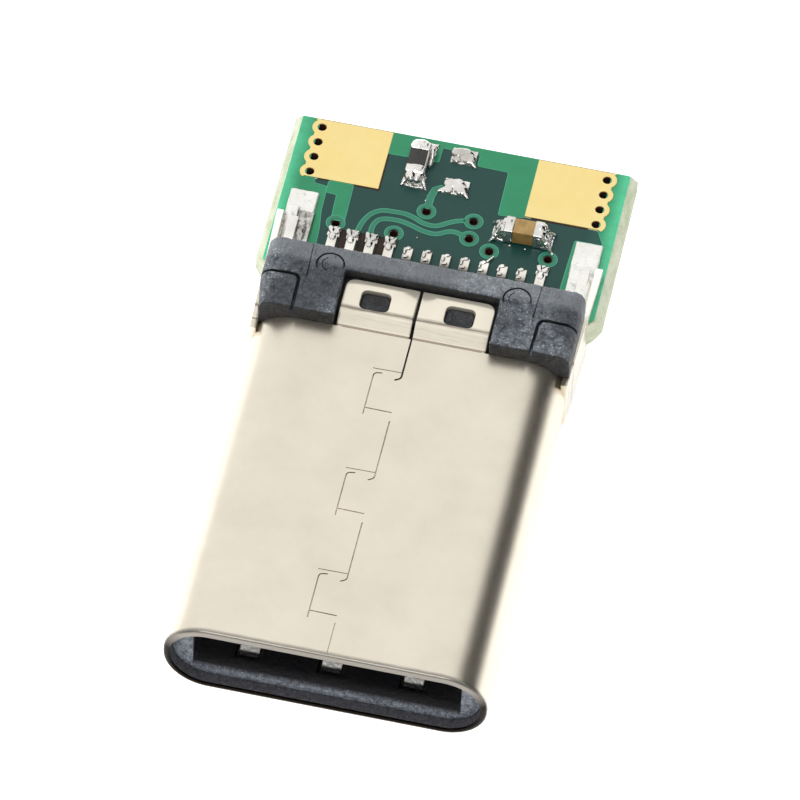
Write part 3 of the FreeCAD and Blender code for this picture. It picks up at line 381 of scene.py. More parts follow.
class Melt:
    """Metal that has melted and set: simple lumps that run into one another."""

    def __init__(self, voxel: float, rounds: int, wrinkle: float, seed: float) -> None:
        """Starts an empty melt.

        Args:
            voxel: Cell size of the merged surface.
            rounds: How often the surface is smoothed.
            wrinkle: Height of the wrinkles that the cooling metal leaves.
            seed: Shifts the pattern of the wrinkles.
        """
        self.voxel, self.rounds, self.wrinkle, self.seed = voxel, rounds, wrinkle, seed
        self.work = bmesh.new()

    def ball(self, centre: Sequence[float], radii: Sequence[float], turn: float = 0.0) -> "Melt":
        """Adds an ellipsoid, turned about the vertical by some degrees."""
        matrix = Matrix.LocRotScale(Vector(centre), Matrix.Rotation(math.radians(turn), 3, "Z"), Vector(radii))
        bmesh.ops.create_icosphere(self.work, subdivisions=3, radius=1.0, matrix=matrix)
        return self

    def block(self, low: Sequence[float], high: Sequence[float], top: float = 1.0) -> "Melt":
        """Adds a block whose top is a given share as wide as its base."""
        middle = [(a + b) / 2 for a, b in zip(low, high)]
        size = [b - a for a, b in zip(low, high)]
        made = bmesh.ops.create_cube(self.work, size=1.0)["verts"]
        for vert in made:
            share = top if vert.co.z > 0 else 1.0
            vert.co = Vector((vert.co.x * size[0] * share, vert.co.y * size[1] * share, vert.co.z * size[2]))
            vert.co += Vector(middle)
        return self

    def slab(self, outline: Sequence[float], middle: float, half: float, top: float = 1.0) -> "Melt":
        """Adds a block by its left, front, right and rear, its middle height and half its thickness."""
        left, front, right, rear = outline
        return self.block((left, front, middle - half), (right, rear, middle + half), top)

    def spine(self, start: Sequence[float], end: Sequence[float], thick: float, thin: float) -> "Melt":
        """Adds a tapering run of balls from one point to another."""
        first, last = Vector(start), Vector(end)
        for step in range(9):
            t = step / 8
            size = thick + (thin - thick) * t
            self.ball(first.lerp(last, t), (size, size, size))
        return self

    def mesh(self, floor: float) -> Mesh:
        """Merges the lumps.

        Args:
            floor: Height of the surface that the metal has wetted. Nothing goes under it.

        Returns:
            The mesh, in millimetres.
        """
        raw = bpy.data.meshes.new("melt")
        self.work.to_mesh(raw)
        self.work.free()
        mesh = reskinned(raw, self.voxel, self.rounds)
        roughen(mesh, ((6.0, self.wrinkle), (17.0, self.wrinkle * 0.45)), self.seed)
        for vert in mesh.vertices:
            vert.co.z = max(vert.co.z, floor) if floor > 0 else min(vert.co.z, floor)
        return mesh


def seat(piece: Piece, slot: str, finish: "Finish", *nodes: str) -> Piece:
    """Puts a piece on the body, gives it its finish and hides the CAD nodes that it stands for.

    Args:
        piece: The new piece, in its place.
        slot: The record's material slot. Not used.
        finish: Its finish, all over.
        nodes: CAD nodes that the piece replaces.

    Returns:
        The piece.
    """
    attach(piece, ROOT)
    if nodes:
        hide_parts(*nodes)
    paint(piece, finish)
    return piece


def paint(piece: Piece, finish: "Finish") -> None:
    """Gives a piece one finish all over."""
    material = finish_of(finish)
    if not piece.material_slots:
        piece.data.materials.append(material)
    for slot in piece.material_slots:
        slot.material = material


def soften(node: Piece, width: float) -> None:
    """Breaks the sharp edges of a carried-over node, as tooling leaves them."""
    weld = node.modifiers.new("weld", "WELD")
    weld.merge_threshold = 1e-7
    edge = node.modifiers.new("edge", "BEVEL")
    edge.width = width * MM
    edge.segments = 2
    edge.limit_method = "ANGLE"
    edge.angle_limit = math.radians(32)
    edge.harden_normals = False
    edge.use_clamp_overlap = True
    even = node.modifiers.new("even", "WEIGHTED_NORMAL")
    even.keep_sharp = False


# Finishes


class NodeBench:
    """A small workbench for the nodes of one material."""

    def __init__(self, name: str) -> None:
        """Makes the material with its main shader.

        Args:
            name: Name of the material.
        """
        self.material = bpy.data.materials.new(name)
        self.material.use_nodes = True
        self.tree = self.material.node_tree
        self.shader = self.tree.nodes["Principled BSDF"]
        self.place = self.tree.nodes.new("ShaderNodeTexCoord").outputs["Object"]

    def set(self, **values: object) -> None:
        """Sets sockets of the main shader. Underscores in names stand for spaces."""
        for key, value in values.items():
            self.shader.inputs[key.replace("_", " ")].default_value = value

    def join(self, source: Socket, target: Socket) -> None:
        """Joins two sockets."""
        self.tree.links.new(source, target)

    def feed(self, source: Socket, name: str) -> None:
        """Joins a socket to one of the main shader's inputs."""
        self.join(source, self.shader.inputs[name])

    def stretched(self, x: float, y: float, z: float) -> Socket:
        """Object coordinates in millimetres, stretched along the axes."""
        node = self.tree.nodes.new("ShaderNodeMapping")
        node.inputs["Scale"].default_value = (x / MM, y / MM, z / MM)
        self.join(self.place, node.inputs["Vector"])
        return node.outputs["Vector"]

    def noise(
        self, scale: float, detail: float = 3.0, rough: float = 0.55, stretch: tuple[float, float, float] = (1, 1, 1),
    ) -> Socket:
        """A cloudy pattern.

        Args:
            scale: Features per millimetre.
            detail: Octaves.
            rough: Strength of the finer octaves.
            stretch: Stretch of the pattern along the axes.

        Returns:
            The pattern, from 0 to 1.
        """
        node = self.tree.nodes.new("ShaderNodeTexNoise")
        node.inputs["Scale"].default_value = scale
        node.inputs["Detail"].default_value = detail
        node.inputs["Roughness"].default_value = rough
        self.join(self.stretched(*stretch), node.inputs["Vector"])
        return node.outputs["Fac"]

    def ramp(self, source: Socket, stops: Sequence[tuple[float, Colour]]) -> Socket:
        """Turns a pattern into colours by a ramp of stops."""
        node = self.tree.nodes.new("ShaderNodeValToRGB")
        ramp = node.color_ramp
        while len(ramp.elements) < len(stops):
            ramp.elements.new(0.5)
        for element, (position, colour) in zip(ramp.elements, stops):
            element.position = position
            element.color = (*colour, 1.0)
        self.join(source, node.inputs["Fac"])
        return node.outputs["Color"]

    def span(self, source: Socket, low: float, high: float, start: float = 0.0, end: float = 1.0) -> Socket:
        """Maps a pattern from start..end to low..high, held inside."""
        node = self.tree.nodes.new("ShaderNodeMapRange")
        for key, value in (("From Min", start), ("From Max", end), ("To Min", low), ("To Max", high)):
            node.inputs[key].default_value = value
        self.join(source, node.inputs["Value"])
        return node.outputs["Result"]

    def blend(self, factor: Socket, first: Socket | Colour, second: Socket | Colour) -> Socket:
        """Mixes two colours by a factor."""
        node = self.tree.nodes.new("ShaderNodeMix")
        node.data_type = "RGBA"
        self.join(factor, node.inputs[0])
        for socket, value in ((node.inputs[6], first), (node.inputs[7], second)):
            if isinstance(value, tuple):
                socket.default_value = (*value, 1.0)
            else:
                self.join(value, socket)
        return node.outputs[2]

    def math(self, kind: str, first: Socket | float, second: Socket | float = 0.0) -> Socket:
        """Works out one value from two."""
        node = self.tree.nodes.new("ShaderNodeMath")
        node.operation = kind
        for socket, value in zip(node.inputs, (first, second)):
            if isinstance(value, float):
                socket.default_value = value
            else:
                self.join(value, socket)
        return node.outputs[0]

    def band(self, source: Socket, centre: float, half: float, soft: float) -> Socket:
        """A band: one inside half a width of the centre, fading to zero over a soft border."""
        away = self.math("ABSOLUTE", self.math("SUBTRACT", source, centre))
        return self.span(away, 1.0, 0.0, half, half + soft)

    def facing(self, name: str) -> Socket:
        """One part of the surface's direction, in the object's own axes."""
        node = self.tree.nodes.new("ShaderNodeSeparateXYZ")
        self.join(self.tree.nodes.new("ShaderNodeTexCoord").outputs["Normal"], node.inputs[0])
        return node.outputs[name]

    def hollows(self, sharp: float = 0.47, flat: float = 0.5) -> Socket:
        """One in the creases of the mesh, zero where it is flat or raised."""
        place = self.tree.nodes.new("ShaderNodeNewGeometry").outputs["Pointiness"]
        return self.span(place, 1.0, 0.0, sharp, flat)

    def axis(self, name: str) -> Socket:
        """One coordinate of the surface point, in millimetres."""
        node = self.tree.nodes.new("ShaderNodeSeparateXYZ")
        self.join(self.stretched(1, 1, 1), node.inputs[0])
        return node.outputs[name]

    def bump(self, height: Socket, depth: float, under: Socket | None = None) -> Socket:
        """A relief of the surface normal.

        Args:
            height: The pattern of heights.
            depth: Height of the pattern's full range, in millimetres.
            under: A relief that this one lies on.

        Returns:
            The normal.
        """
        node = self.tree.nodes.new("ShaderNodeBump")
        node.inputs["Distance"].default_value = depth * MM
        self.join(height, node.inputs["Height"])
        if under is not None:
            self.join(under, node.inputs["Normal"])
        self.feed(node.outputs["Normal"], "Normal")
        return node.outputs["Normal"]


@dataclass(frozen=True)
class Metal:
    """A bare or plated metal.

    Attributes:
        name: Name of the finish.
        light: Colour where it is clean.
        dark: Colour where it is dull.
        gloss: Lowest roughness.
        dull: Highest roughness.
        grain: Features of the surface per millimetre.
        depth: Depth of the grain in millimetres.
        brushed: Stretch of the grain along the axes.
        metallic: Share of metallic reflection.
        stain: Share of the dull colour in the finest grain.
        crease: Share of painted shade, near-black, in the creases of the shape.
        shade_span: Places along the plug where the painted shade starts and where it is full.
        shade_tone: Colour of the painted shade.
    """

    name: str
    light: Colour
    dark: Colour
    gloss: float
    dull: float
    grain: float
    depth: float
    brushed: tuple[float, float, float] = (1.0, 1.0, 1.0)
    metallic: float = 1.0
    stain: float = 0.3
    crease: float = 0.0
    shade_span: Spot = (0.0, 0.0)
    shade_tone: Colour = (0.05, 0.043, 0.034)

    def build(self) -> Material:
        """Makes the material."""
        bench = NodeBench(self.name)
        clouds = bench.noise(0.7, 4.0, 0.6)
        grain = bench.noise(self.grain, 3.0, 0.6, self.brushed)
        tone = bench.blend(bench.span(clouds, 0.0, 1.0, 0.35, 0.7), self.light, self.dark)
        flecks = bench.span(grain, 0.0, self.stain, 0.45, 0.8)
        tone = bench.blend(flecks, tone, self.dark)
        # Painted shade, near-black, in the creases of the shape.
        if self.crease:
            deep = bench.math("MULTIPLY", bench.hollows(), self.crease)
            tone = bench.blend(deep, tone, CREASE_SHADE)
        # Painted shade over the stretch of the plug where the part lies in shade.
        if self.shade_span[1]:
            tone = bench.blend(bench.span(bench.axis("Y"), 0.0, 1.0, *self.shade_span), tone, self.shade_tone)
        self.colour(bench, tone)
        bench.feed(self.polish(bench, bench.span(grain, self.gloss, self.dull, 0.3, 0.7)), "Roughness")
        bench.bump(grain, self.depth)
        bench.set(Metallic=self.metallic)
        return bench.material

    def polish(self, bench: NodeBench, roughness: Socket) -> Socket:
        """The roughness, where a finish has smoother parts."""
        return roughness

    def colour(self, bench: NodeBench, tone: Socket) -> None:
        """Sends the colour to the shader."""
        bench.feed(tone, "Base Color")


@dataclass(frozen=True)
class ShellSteel(Metal):
    """The shell's satin sheet. Its cut front rim is duller and painted darker as shade, with painted shadow where the
    rim turns down; the tabs' bends carry painted shade and the side arms a painted highlight.

    Attributes:
        rim: Colour of the rim: the cut edge's own dullness with painted shade of its curved face.
        rim_shadow: Colour of the painted shadow on the rim's lower half.
        rim_end: Place where the rim's colour ends, in millimetres from the mouth.
        bend: Place of the painted shade where a tab's slope bends into its flat.
        foot: Place of the thin line of painted shade in the crease at a tab's foot.
        slope: Middle of the slope with drawing marks, and half its length.
        pressed: Roughness of the tabs as a share of the tube's.
        pressed_metal: Share of metallic reflection on the tabs.
        bend_shade: Colour of the painted shade at the bend.
        foot_shade: Colour of the painted shade at the foot.
        slope_tone: Colour of the drawing marks.
        arm_highlight_side: Distances from the middle between which the painted highlight on the side arms begins.
        arm_highlight_start: Places along the plug between which it begins.
        arm_highlight_tone: Colour of the painted highlight on the arms.
    """

    rim: Colour = (0.27, 0.25, 0.22)
    rim_shadow: Colour = (0.010, 0.007, 0.005)
    rim_end: float = 0.15
    bend: float = 10.565
    foot: float = 10.115
    slope: Spot = (10.32, 0.17)
    pressed: float = 0.6
    pressed_metal: float = 0.6
    bend_shade: Colour = (0.14, 0.12, 0.09)
    foot_shade: Colour = (0.30, 0.24, 0.17)
    slope_tone: Colour = (0.40, 0.34, 0.25)
    arm_highlight_side: Spot = (4.10, 4.13)
    arm_highlight_start: Spot = (12.0, 12.2)
    arm_highlight_tone: Colour = (0.95, 0.92, 0.86)

    def colour(self, bench: NodeBench, tone: Socket) -> None:
        """Mixes into the sheet's colour the rim's painted shade and shadow, painted shade at the tabs' bends and
        feet, the drawing marks on their slopes and the painted highlight on the side arms.
        """
        streaks = bench.span(bench.noise(5.0, 3.0, 0.6, (0.5, 3.0, 2.0)), -0.03, 0.03)
        place = bench.math("ADD", bench.axis("Y"), streaks)
        # Painted shade on the cut front rim over the edge's own dullness, with painted shadow on its lower half.
        rim = bench.blend(bench.span(bench.axis("Z"), 0.0, 1.0, 0.85, 0.25), self.rim, self.rim_shadow)
        share = bench.span(place, 1.0, 0.0, self.rim_end * 0.4, self.rim_end)
        tone = bench.blend(share, tone, rim)
        drawn = bench.noise(2.2, 4.0, 0.7, (0.5, 14.0, 3.0))
        # Painted shade at the upper bend of each tab's slope and in the crease at its foot.
        bend, foot = bench.band(place, self.bend, 0.016, 0.08), bench.band(bench.axis("Y"), self.foot, 0.012, 0.02)
        slope = bench.band(place, *self.slope, 0.05)
        bend = bench.math("MULTIPLY", bend, bench.span(drawn, 0.45, 1.0, 0.35, 0.6))
        slope = bench.math("MULTIPLY", slope, bench.span(drawn, 0.0, 0.5, 0.5, 0.72))
        # Painted highlight on the rear of the side arms.
        sides = bench.span(bench.math("ABSOLUTE", bench.axis("X")), 0.0, 1.0, *self.arm_highlight_side)
        behind = bench.span(bench.axis("Y"), 0.0, 1.0, *self.arm_highlight_start)
        arms = bench.math("MULTIPLY", sides, behind)
        tones = (self.bend_shade, self.foot_shade, self.slope_tone, self.arm_highlight_tone)
        for share, colour in zip((bend, foot, slope, arms), tones):
            tone = bench.blend(share, tone, colour)
        bench.feed(tone, "Base Color")

    def polish(self, bench: NodeBench, roughness: Socket) -> Socket:
        """The tabs were pressed bright by their tool."""
        start, end = self.foot - 0.04, self.foot + 0.02
        bench.feed(bench.span(bench.axis("Y"), 1.0, self.pressed_metal, start, end), "Metallic")
        share = bench.span(bench.axis("Y"), 1.0, self.pressed, start, end)
        return bench.math("MULTIPLY", roughness, share)


@dataclass(frozen=True)
class GrainedPlastic:
    """A moulded, glass-filled plastic with a coarse skin.

    Attributes:
        name: Name of the finish.
        dark: Colour in the hollows of the grain.
        light: Colour on the grain.
        fleck: Colour of the fine flecks.
        grain: Grains per millimetre.
        depth: Depth of the grain in millimetres.
        roughness: Roughness of the skin.
        specular: Strength of its sheen.
        cavity_shade_start: Place along the plug where the painted shade of the cavity starts to darken the skin, in
            millimetres.
        cavity_shade_end: Place where the painted shade is darkest. Zero stands for no change.
        crease: Share of painted shade, near-black, in the creases of the shape.
        shade: Share of painted shade, near-black, on faces that look to the mouth and get little light.
        clouds: Share of the darker tone in the large patches of the skin.
        rear_pale: Places along the plug where the skin starts to turn paler and where it fully is.
        pocket_shade: Half width, height and rear end of the recess whose inside is painted near-black as shade.
    """

    name: str
    dark: Colour
    light: Colour
    fleck: Colour
    grain: float
    depth: float
    roughness: float
    specular: float = 0.5
    cavity_shade_start: float = 0.0
    cavity_shade_end: float = 0.0
    crease: float = 0.0
    shade: float = 0.0
    clouds: float = 0.0
    rear_pale: Spot = (0.0, 0.0)
    pocket_shade: tuple[float, float, float] = (0.0, 0.0, 0.0)

    def build(self) -> Material:
        """Makes the material."""
        bench = NodeBench(self.name)
        coarse = bench.noise(self.grain, 5.0, 0.72)
        fine = bench.noise(self.grain * 2.6, 3.0, 0.6)
        body = bench.ramp(coarse, [(0.36, self.dark), (0.62, self.light)])
        flecks = bench.span(fine, 0.0, 0.8, 0.56, 0.7)
        tone = bench.blend(flecks, body, self.fleck)
        if self.clouds:
            tone = bench.blend(bench.span(bench.noise(0.55, 2.0, 0.5), 0.0, self.clouds, 0.42, 0.58), tone, self.dark)
        # Paler towards the rear.
        if self.rear_pale[1]:
            tone = bench.blend(bench.span(bench.axis("Y"), 0.0, 0.22, *self.rear_pale), tone, self.fleck)
        # Painted shade that darkens the skin deeper inside the mouth.
        if self.cavity_shade_end > 0:
            deep = bench.span(bench.axis("Y"), 0.0, 1.0, self.cavity_shade_start, self.cavity_shade_end)
            tone = bench.blend(deep, tone, DEEP_BLACK)
        # Painted shade, near-black, in the creases.
        if self.crease:
            tone = bench.blend(bench.math("MULTIPLY", bench.hollows(0.46, 0.5), self.crease), tone, NEAR_BLACK)
        # Painted shade, near-black, on faces that look to the mouth.
        if self.shade:
            tone = bench.blend(bench.span(bench.facing("Y"), self.shade, 0.0, -0.8, -0.3), tone, NEAR_BLACK)
        # Painted shade, near-black, inside the recess.
        if self.pocket_shade[0]:
            inside = bench.band(bench.axis("X"), 0.0, self.pocket_shade[0], 0.02)
            for axis, half in (("Z", self.pocket_shade[1]), ("Y", self.pocket_shade[2])):
                inside = bench.math("MULTIPLY", inside, bench.band(bench.axis(axis), 0.0, half, 0.05))
            tone = bench.blend(bench.math("MULTIPLY", inside, 0.88), tone, NEAR_BLACK)
        bench.feed(tone, "Base Color")
        bench.feed(bench.span(coarse, self.roughness + 0.12, self.roughness - 0.08, 0.35, 0.65), "Roughness")
        under = bench.bump(coarse, self.depth)
        bench.bump(fine, self.depth * 0.4, under=under)
        bench.set(Specular_IOR_Level=self.specular)
        return bench.material


@dataclass(frozen=True)
class Lacquer:
    """The translucent green lacquer on the board, over bare laminate or over copper.

    Attributes:
        name: Name of the finish.
        middle: Colour in the middle of the board.
        rim: Colour towards the board's sides.
        rim_start: Distance from the middle where the rim's colour begins, in millimetres.
        specular: Strength of its gloss.
    """

    name: str
    middle: Colour
    rim: Colour
    rim_start: float
    specular: float = 0.35

    def build(self) -> Material:
        """Makes the material."""
        bench = NodeBench(self.name)
        away = bench.math("ABSOLUTE", bench.axis("X"))
        outward = bench.span(away, 0.0, 1.0, self.rim_start, self.rim_start + 0.35)
        tone = bench.blend(outward, self.middle, self.rim)
        clouds = bench.span(bench.noise(1.3, 4.0, 0.6), 0.0, 0.5, 0.4, 0.75)
        darker = tuple(channel * 0.72 for channel in self.middle)
        bench.feed(bench.blend(clouds, tone, darker), "Base Color")
        specks = bench.noise(9.0, 2.0, 0.6)
        bench.feed(bench.span(specks, 0.3, 0.45, 0.35, 0.7), "Roughness")
        bench.bump(bench.noise(4.0, 3.0, 0.5), 0.003)
        bench.set(Specular_IOR_Level=self.specular)
        return bench.material


@dataclass(frozen=True)
class Laminate:
    """Glass-fibre laminate, seen on the board's scored edges.

    Attributes:
        name: Name of the finish.
        light: Colour of the fibre bundles.
        dark: Colour of the resin between them.
        layers: Layers per millimetre of thickness.
    """

    name: str
    light: Colour
    dark: Colour
    layers: float

    def build(self) -> Material:
        """Makes the material."""
        bench = NodeBench(self.name)
        bundles = bench.noise(1.0, 4.0, 0.65, (1.6, 1.6, self.layers))
        fibres = bench.noise(14.0, 3.0, 0.7, (1.0, 1.0, 2.0))
        body = bench.ramp(bundles, [(0.38, self.dark), (0.6, self.light)])
        pale = tuple(min(1.0, channel * 1.25) for channel in self.light)
        bench.feed(bench.blend(bench.span(fibres, 0.0, 0.6, 0.5, 0.75), body, pale), "Base Color")
        bench.set(Roughness=0.8)
        bench.bump(fibres, 0.02)
        return bench.material


@dataclass(frozen=True)
class Ceramic:
    """The body of a chip.

    Attributes:
        name: Name of the finish.
        light: Main colour.
        dark: Colour of its darker clouds.
        roughness: Roughness.
    """

    name: str
    light: Colour
    dark: Colour
    roughness: float

    def build(self) -> Material:
        """Makes the material."""
        bench = NodeBench(self.name)
        clouds = bench.noise(5.0, 4.0, 0.6)
        bench.feed(bench.ramp(clouds, [(0.35, self.dark), (0.65, self.light)]), "Base Color")
        bench.feed(bench.span(bench.noise(20.0), self.roughness - 0.1, self.roughness + 0.1), "Roughness")
        bench.bump(bench.noise(16.0, 4.0, 0.7), 0.006)
        return bench.material


@dataclass(frozen=True)
class Paper:
    """The plain floor.

    Attributes:
        name: Name of the finish.
        tone: Its colour.
        glow: Light from below, as on a lit table.
    """

    name: str
    tone: Colour
    glow: float = 0.55

    def build(self) -> Material:
        """Makes the material."""
        bench = NodeBench(self.name)
        clouds = bench.noise(0.02, 3.0, 0.5)
        shade = tuple(channel * 0.985 for channel in self.tone)
        bench.feed(bench.blend(clouds, self.tone, shade), "Base Color")
        bench.set(Roughness=0.9, Specular_IOR_Level=0.1)
        bench.set(Emission_Color=(1.0, 1.0, 1.0, 1.0), Emission_Strength=self.glow)
        return bench.material


class Finish(Enum):
    """The finishes of the plug, each with its recipe."""

    SHELL = ShellSteel(
        "shell_satin", (0.75, 0.695, 0.585), (0.69, 0.635, 0.53), 0.30, 0.38, 26.0, 0.0006,
        brushed=(1.0, 0.3, 1.0), stain=0.1,
    )
    LATCH = Metal("latch_steel", (0.93, 0.92, 0.89), (0.74, 0.72, 0.67), 0.25, 0.42, 18.0, 0.002)
    # Spring steel whose front part is painted near-black as shade inside the mouth.
    SPRING = Metal(
        "spring_steel", (1.0, 0.98, 0.94), (0.80, 0.77, 0.70), 0.32, 0.5, 12.0, 0.06, metallic=0.3,
        shade_span=(0.96, 0.90), shade_tone=(0.008, 0.008, 0.009),
    )
    CONTACT = Metal("plated_contact", (0.93, 0.91, 0.87), (0.62, 0.57, 0.48), 0.2, 0.36, 14.0, 0.006, stain=0.5)
    # Contacts of the short pads, painted dark as shade near the collar.
    SHADED_CONTACT = Metal(
        "shaded_contact", (0.90, 0.88, 0.83), (0.62, 0.56, 0.46), 0.2, 0.36, 14.0, 0.004, shade_span=(13.24, 13.02),
    )
    SOLDER = Metal("solder", (0.95, 0.94, 0.92), (0.50, 0.48, 0.45), 0.12, 0.26, 5.0, 0.012, stain=0.45, crease=0.9)
    DULL_SOLDER = Metal(
        "dull_solder", (0.84, 0.84, 0.82), (0.66, 0.65, 0.60), 0.40, 0.6, 6.0, 0.010, metallic=0.5, crease=0.5,
    )
    # Grainy solder whose dark colour is partly its own pitted grain and partly painted shade.
    GRAINY_SOLDER = Metal(
        "grainy_solder", (0.85, 0.84, 0.80), (0.10, 0.09, 0.075), 0.2, 0.5, 9.0, 0.03, stain=0.9, crease=0.9,
    )
    GILDED = Metal(
        "gilded_copper", (0.85, 0.70, 0.315), (0.87, 0.68, 0.28), 0.36, 0.48, 3.0, 0.0008, metallic=0.9, stain=0.5,
    )
    # Plated barrels painted near-black brown as shade inside the holes.
    BARREL = Metal("hole_barrel", (0.060, 0.020, 0.010), (0.02, 0.008, 0.005), 0.4, 0.6, 12.0, 0.003, metallic=0.3)
    # Housing plastic with painted shade deeper inside the mouth.
    HOUSING = GrainedPlastic(
        "black_housing", (0.050, 0.056, 0.070), (0.200, 0.222, 0.265), (0.52, 0.55, 0.59), 8.0, 0.03, 0.5,
        cavity_shade_start=0.34, cavity_shade_end=0.45,
    )
    WAFER = GrainedPlastic(
        "black_wafer", (0.006, 0.007, 0.010), (0.02, 0.023, 0.03), (0.05, 0.06, 0.075), 7.0, 0.012, 0.5,
    )
    # Collar plastic with painted shade in its creases, on faces that look to the mouth and inside the tab recess.
    COLLAR = GrainedPlastic(
        "slate_collar", (0.018, 0.022, 0.029), (0.145, 0.165, 0.190), (0.48, 0.51, 0.54), 5.6, 0.07, 0.55,
        specular=0.55, crease=0.9, shade=0.93, clouds=0.75, rear_pale=(11.55, 11.75), pocket_shade=(2.02, 1.42, 11.9),
    )
    MASK = Lacquer("mask_over_laminate", (0.005, 0.045, 0.037), (0.007, 0.068, 0.050), 3.6)
    TRACE = Lacquer("mask_over_copper", (0.018, 0.220, 0.100), (0.070, 0.47, 0.245), 3.95)
    FINE = Lacquer("mask_over_fine_copper", (0.024, 0.175, 0.105), (0.070, 0.47, 0.245), 3.95)
    HALO = Lacquer("mask_on_copper_edges", (0.055, 0.320, 0.200), (0.080, 0.58, 0.33), 3.95)
    FIBRE = Laminate("board_fibre", (0.64, 0.67, 0.53), (0.48, 0.54, 0.36), 5.0)
    # Bare laminate, painted near-black brown as shade; the fibre on the board's edges is pale.
    BARE = Laminate("bare_laminate", (0.035, 0.019, 0.012), (0.016, 0.010, 0.007), 3.0)
    GLAZE = Ceramic("resistor_glaze", (0.022, 0.021, 0.019), (0.012, 0.012, 0.011), 0.4)
    ALUMINA = Ceramic("white_ceramic", (0.72, 0.70, 0.66), (0.55, 0.53, 0.49), 0.6)
    CAPACITOR = Ceramic("capacitor_glaze", (0.37, 0.235, 0.070), (0.26, 0.155, 0.045), 0.45)
    THROAT = GrainedPlastic(
        "shaded_steel", (0.035, 0.035, 0.040), (0.075, 0.075, 0.085), (0.17, 0.17, 0.19), 8.0, 0.012, 0.5,
    )
    SEAM = Metal("seam_steel", (0.62, 0.56, 0.47), (0.34, 0.29, 0.23), 0.35, 0.5, 6.0, 0.002, stain=0.9)
    FLOOR = Paper("floor_paper", (0.94, 0.94, 0.94))


FINISHED: dict[Finish, Material] = {}


def finish_of(finish: Finish) -> Material:
    """The material of a finish, made when it is first asked for."""
    if finish not in FINISHED:
        FINISHED[finish] = finish.value.build()
    return FINISHED[finish]


# Shell


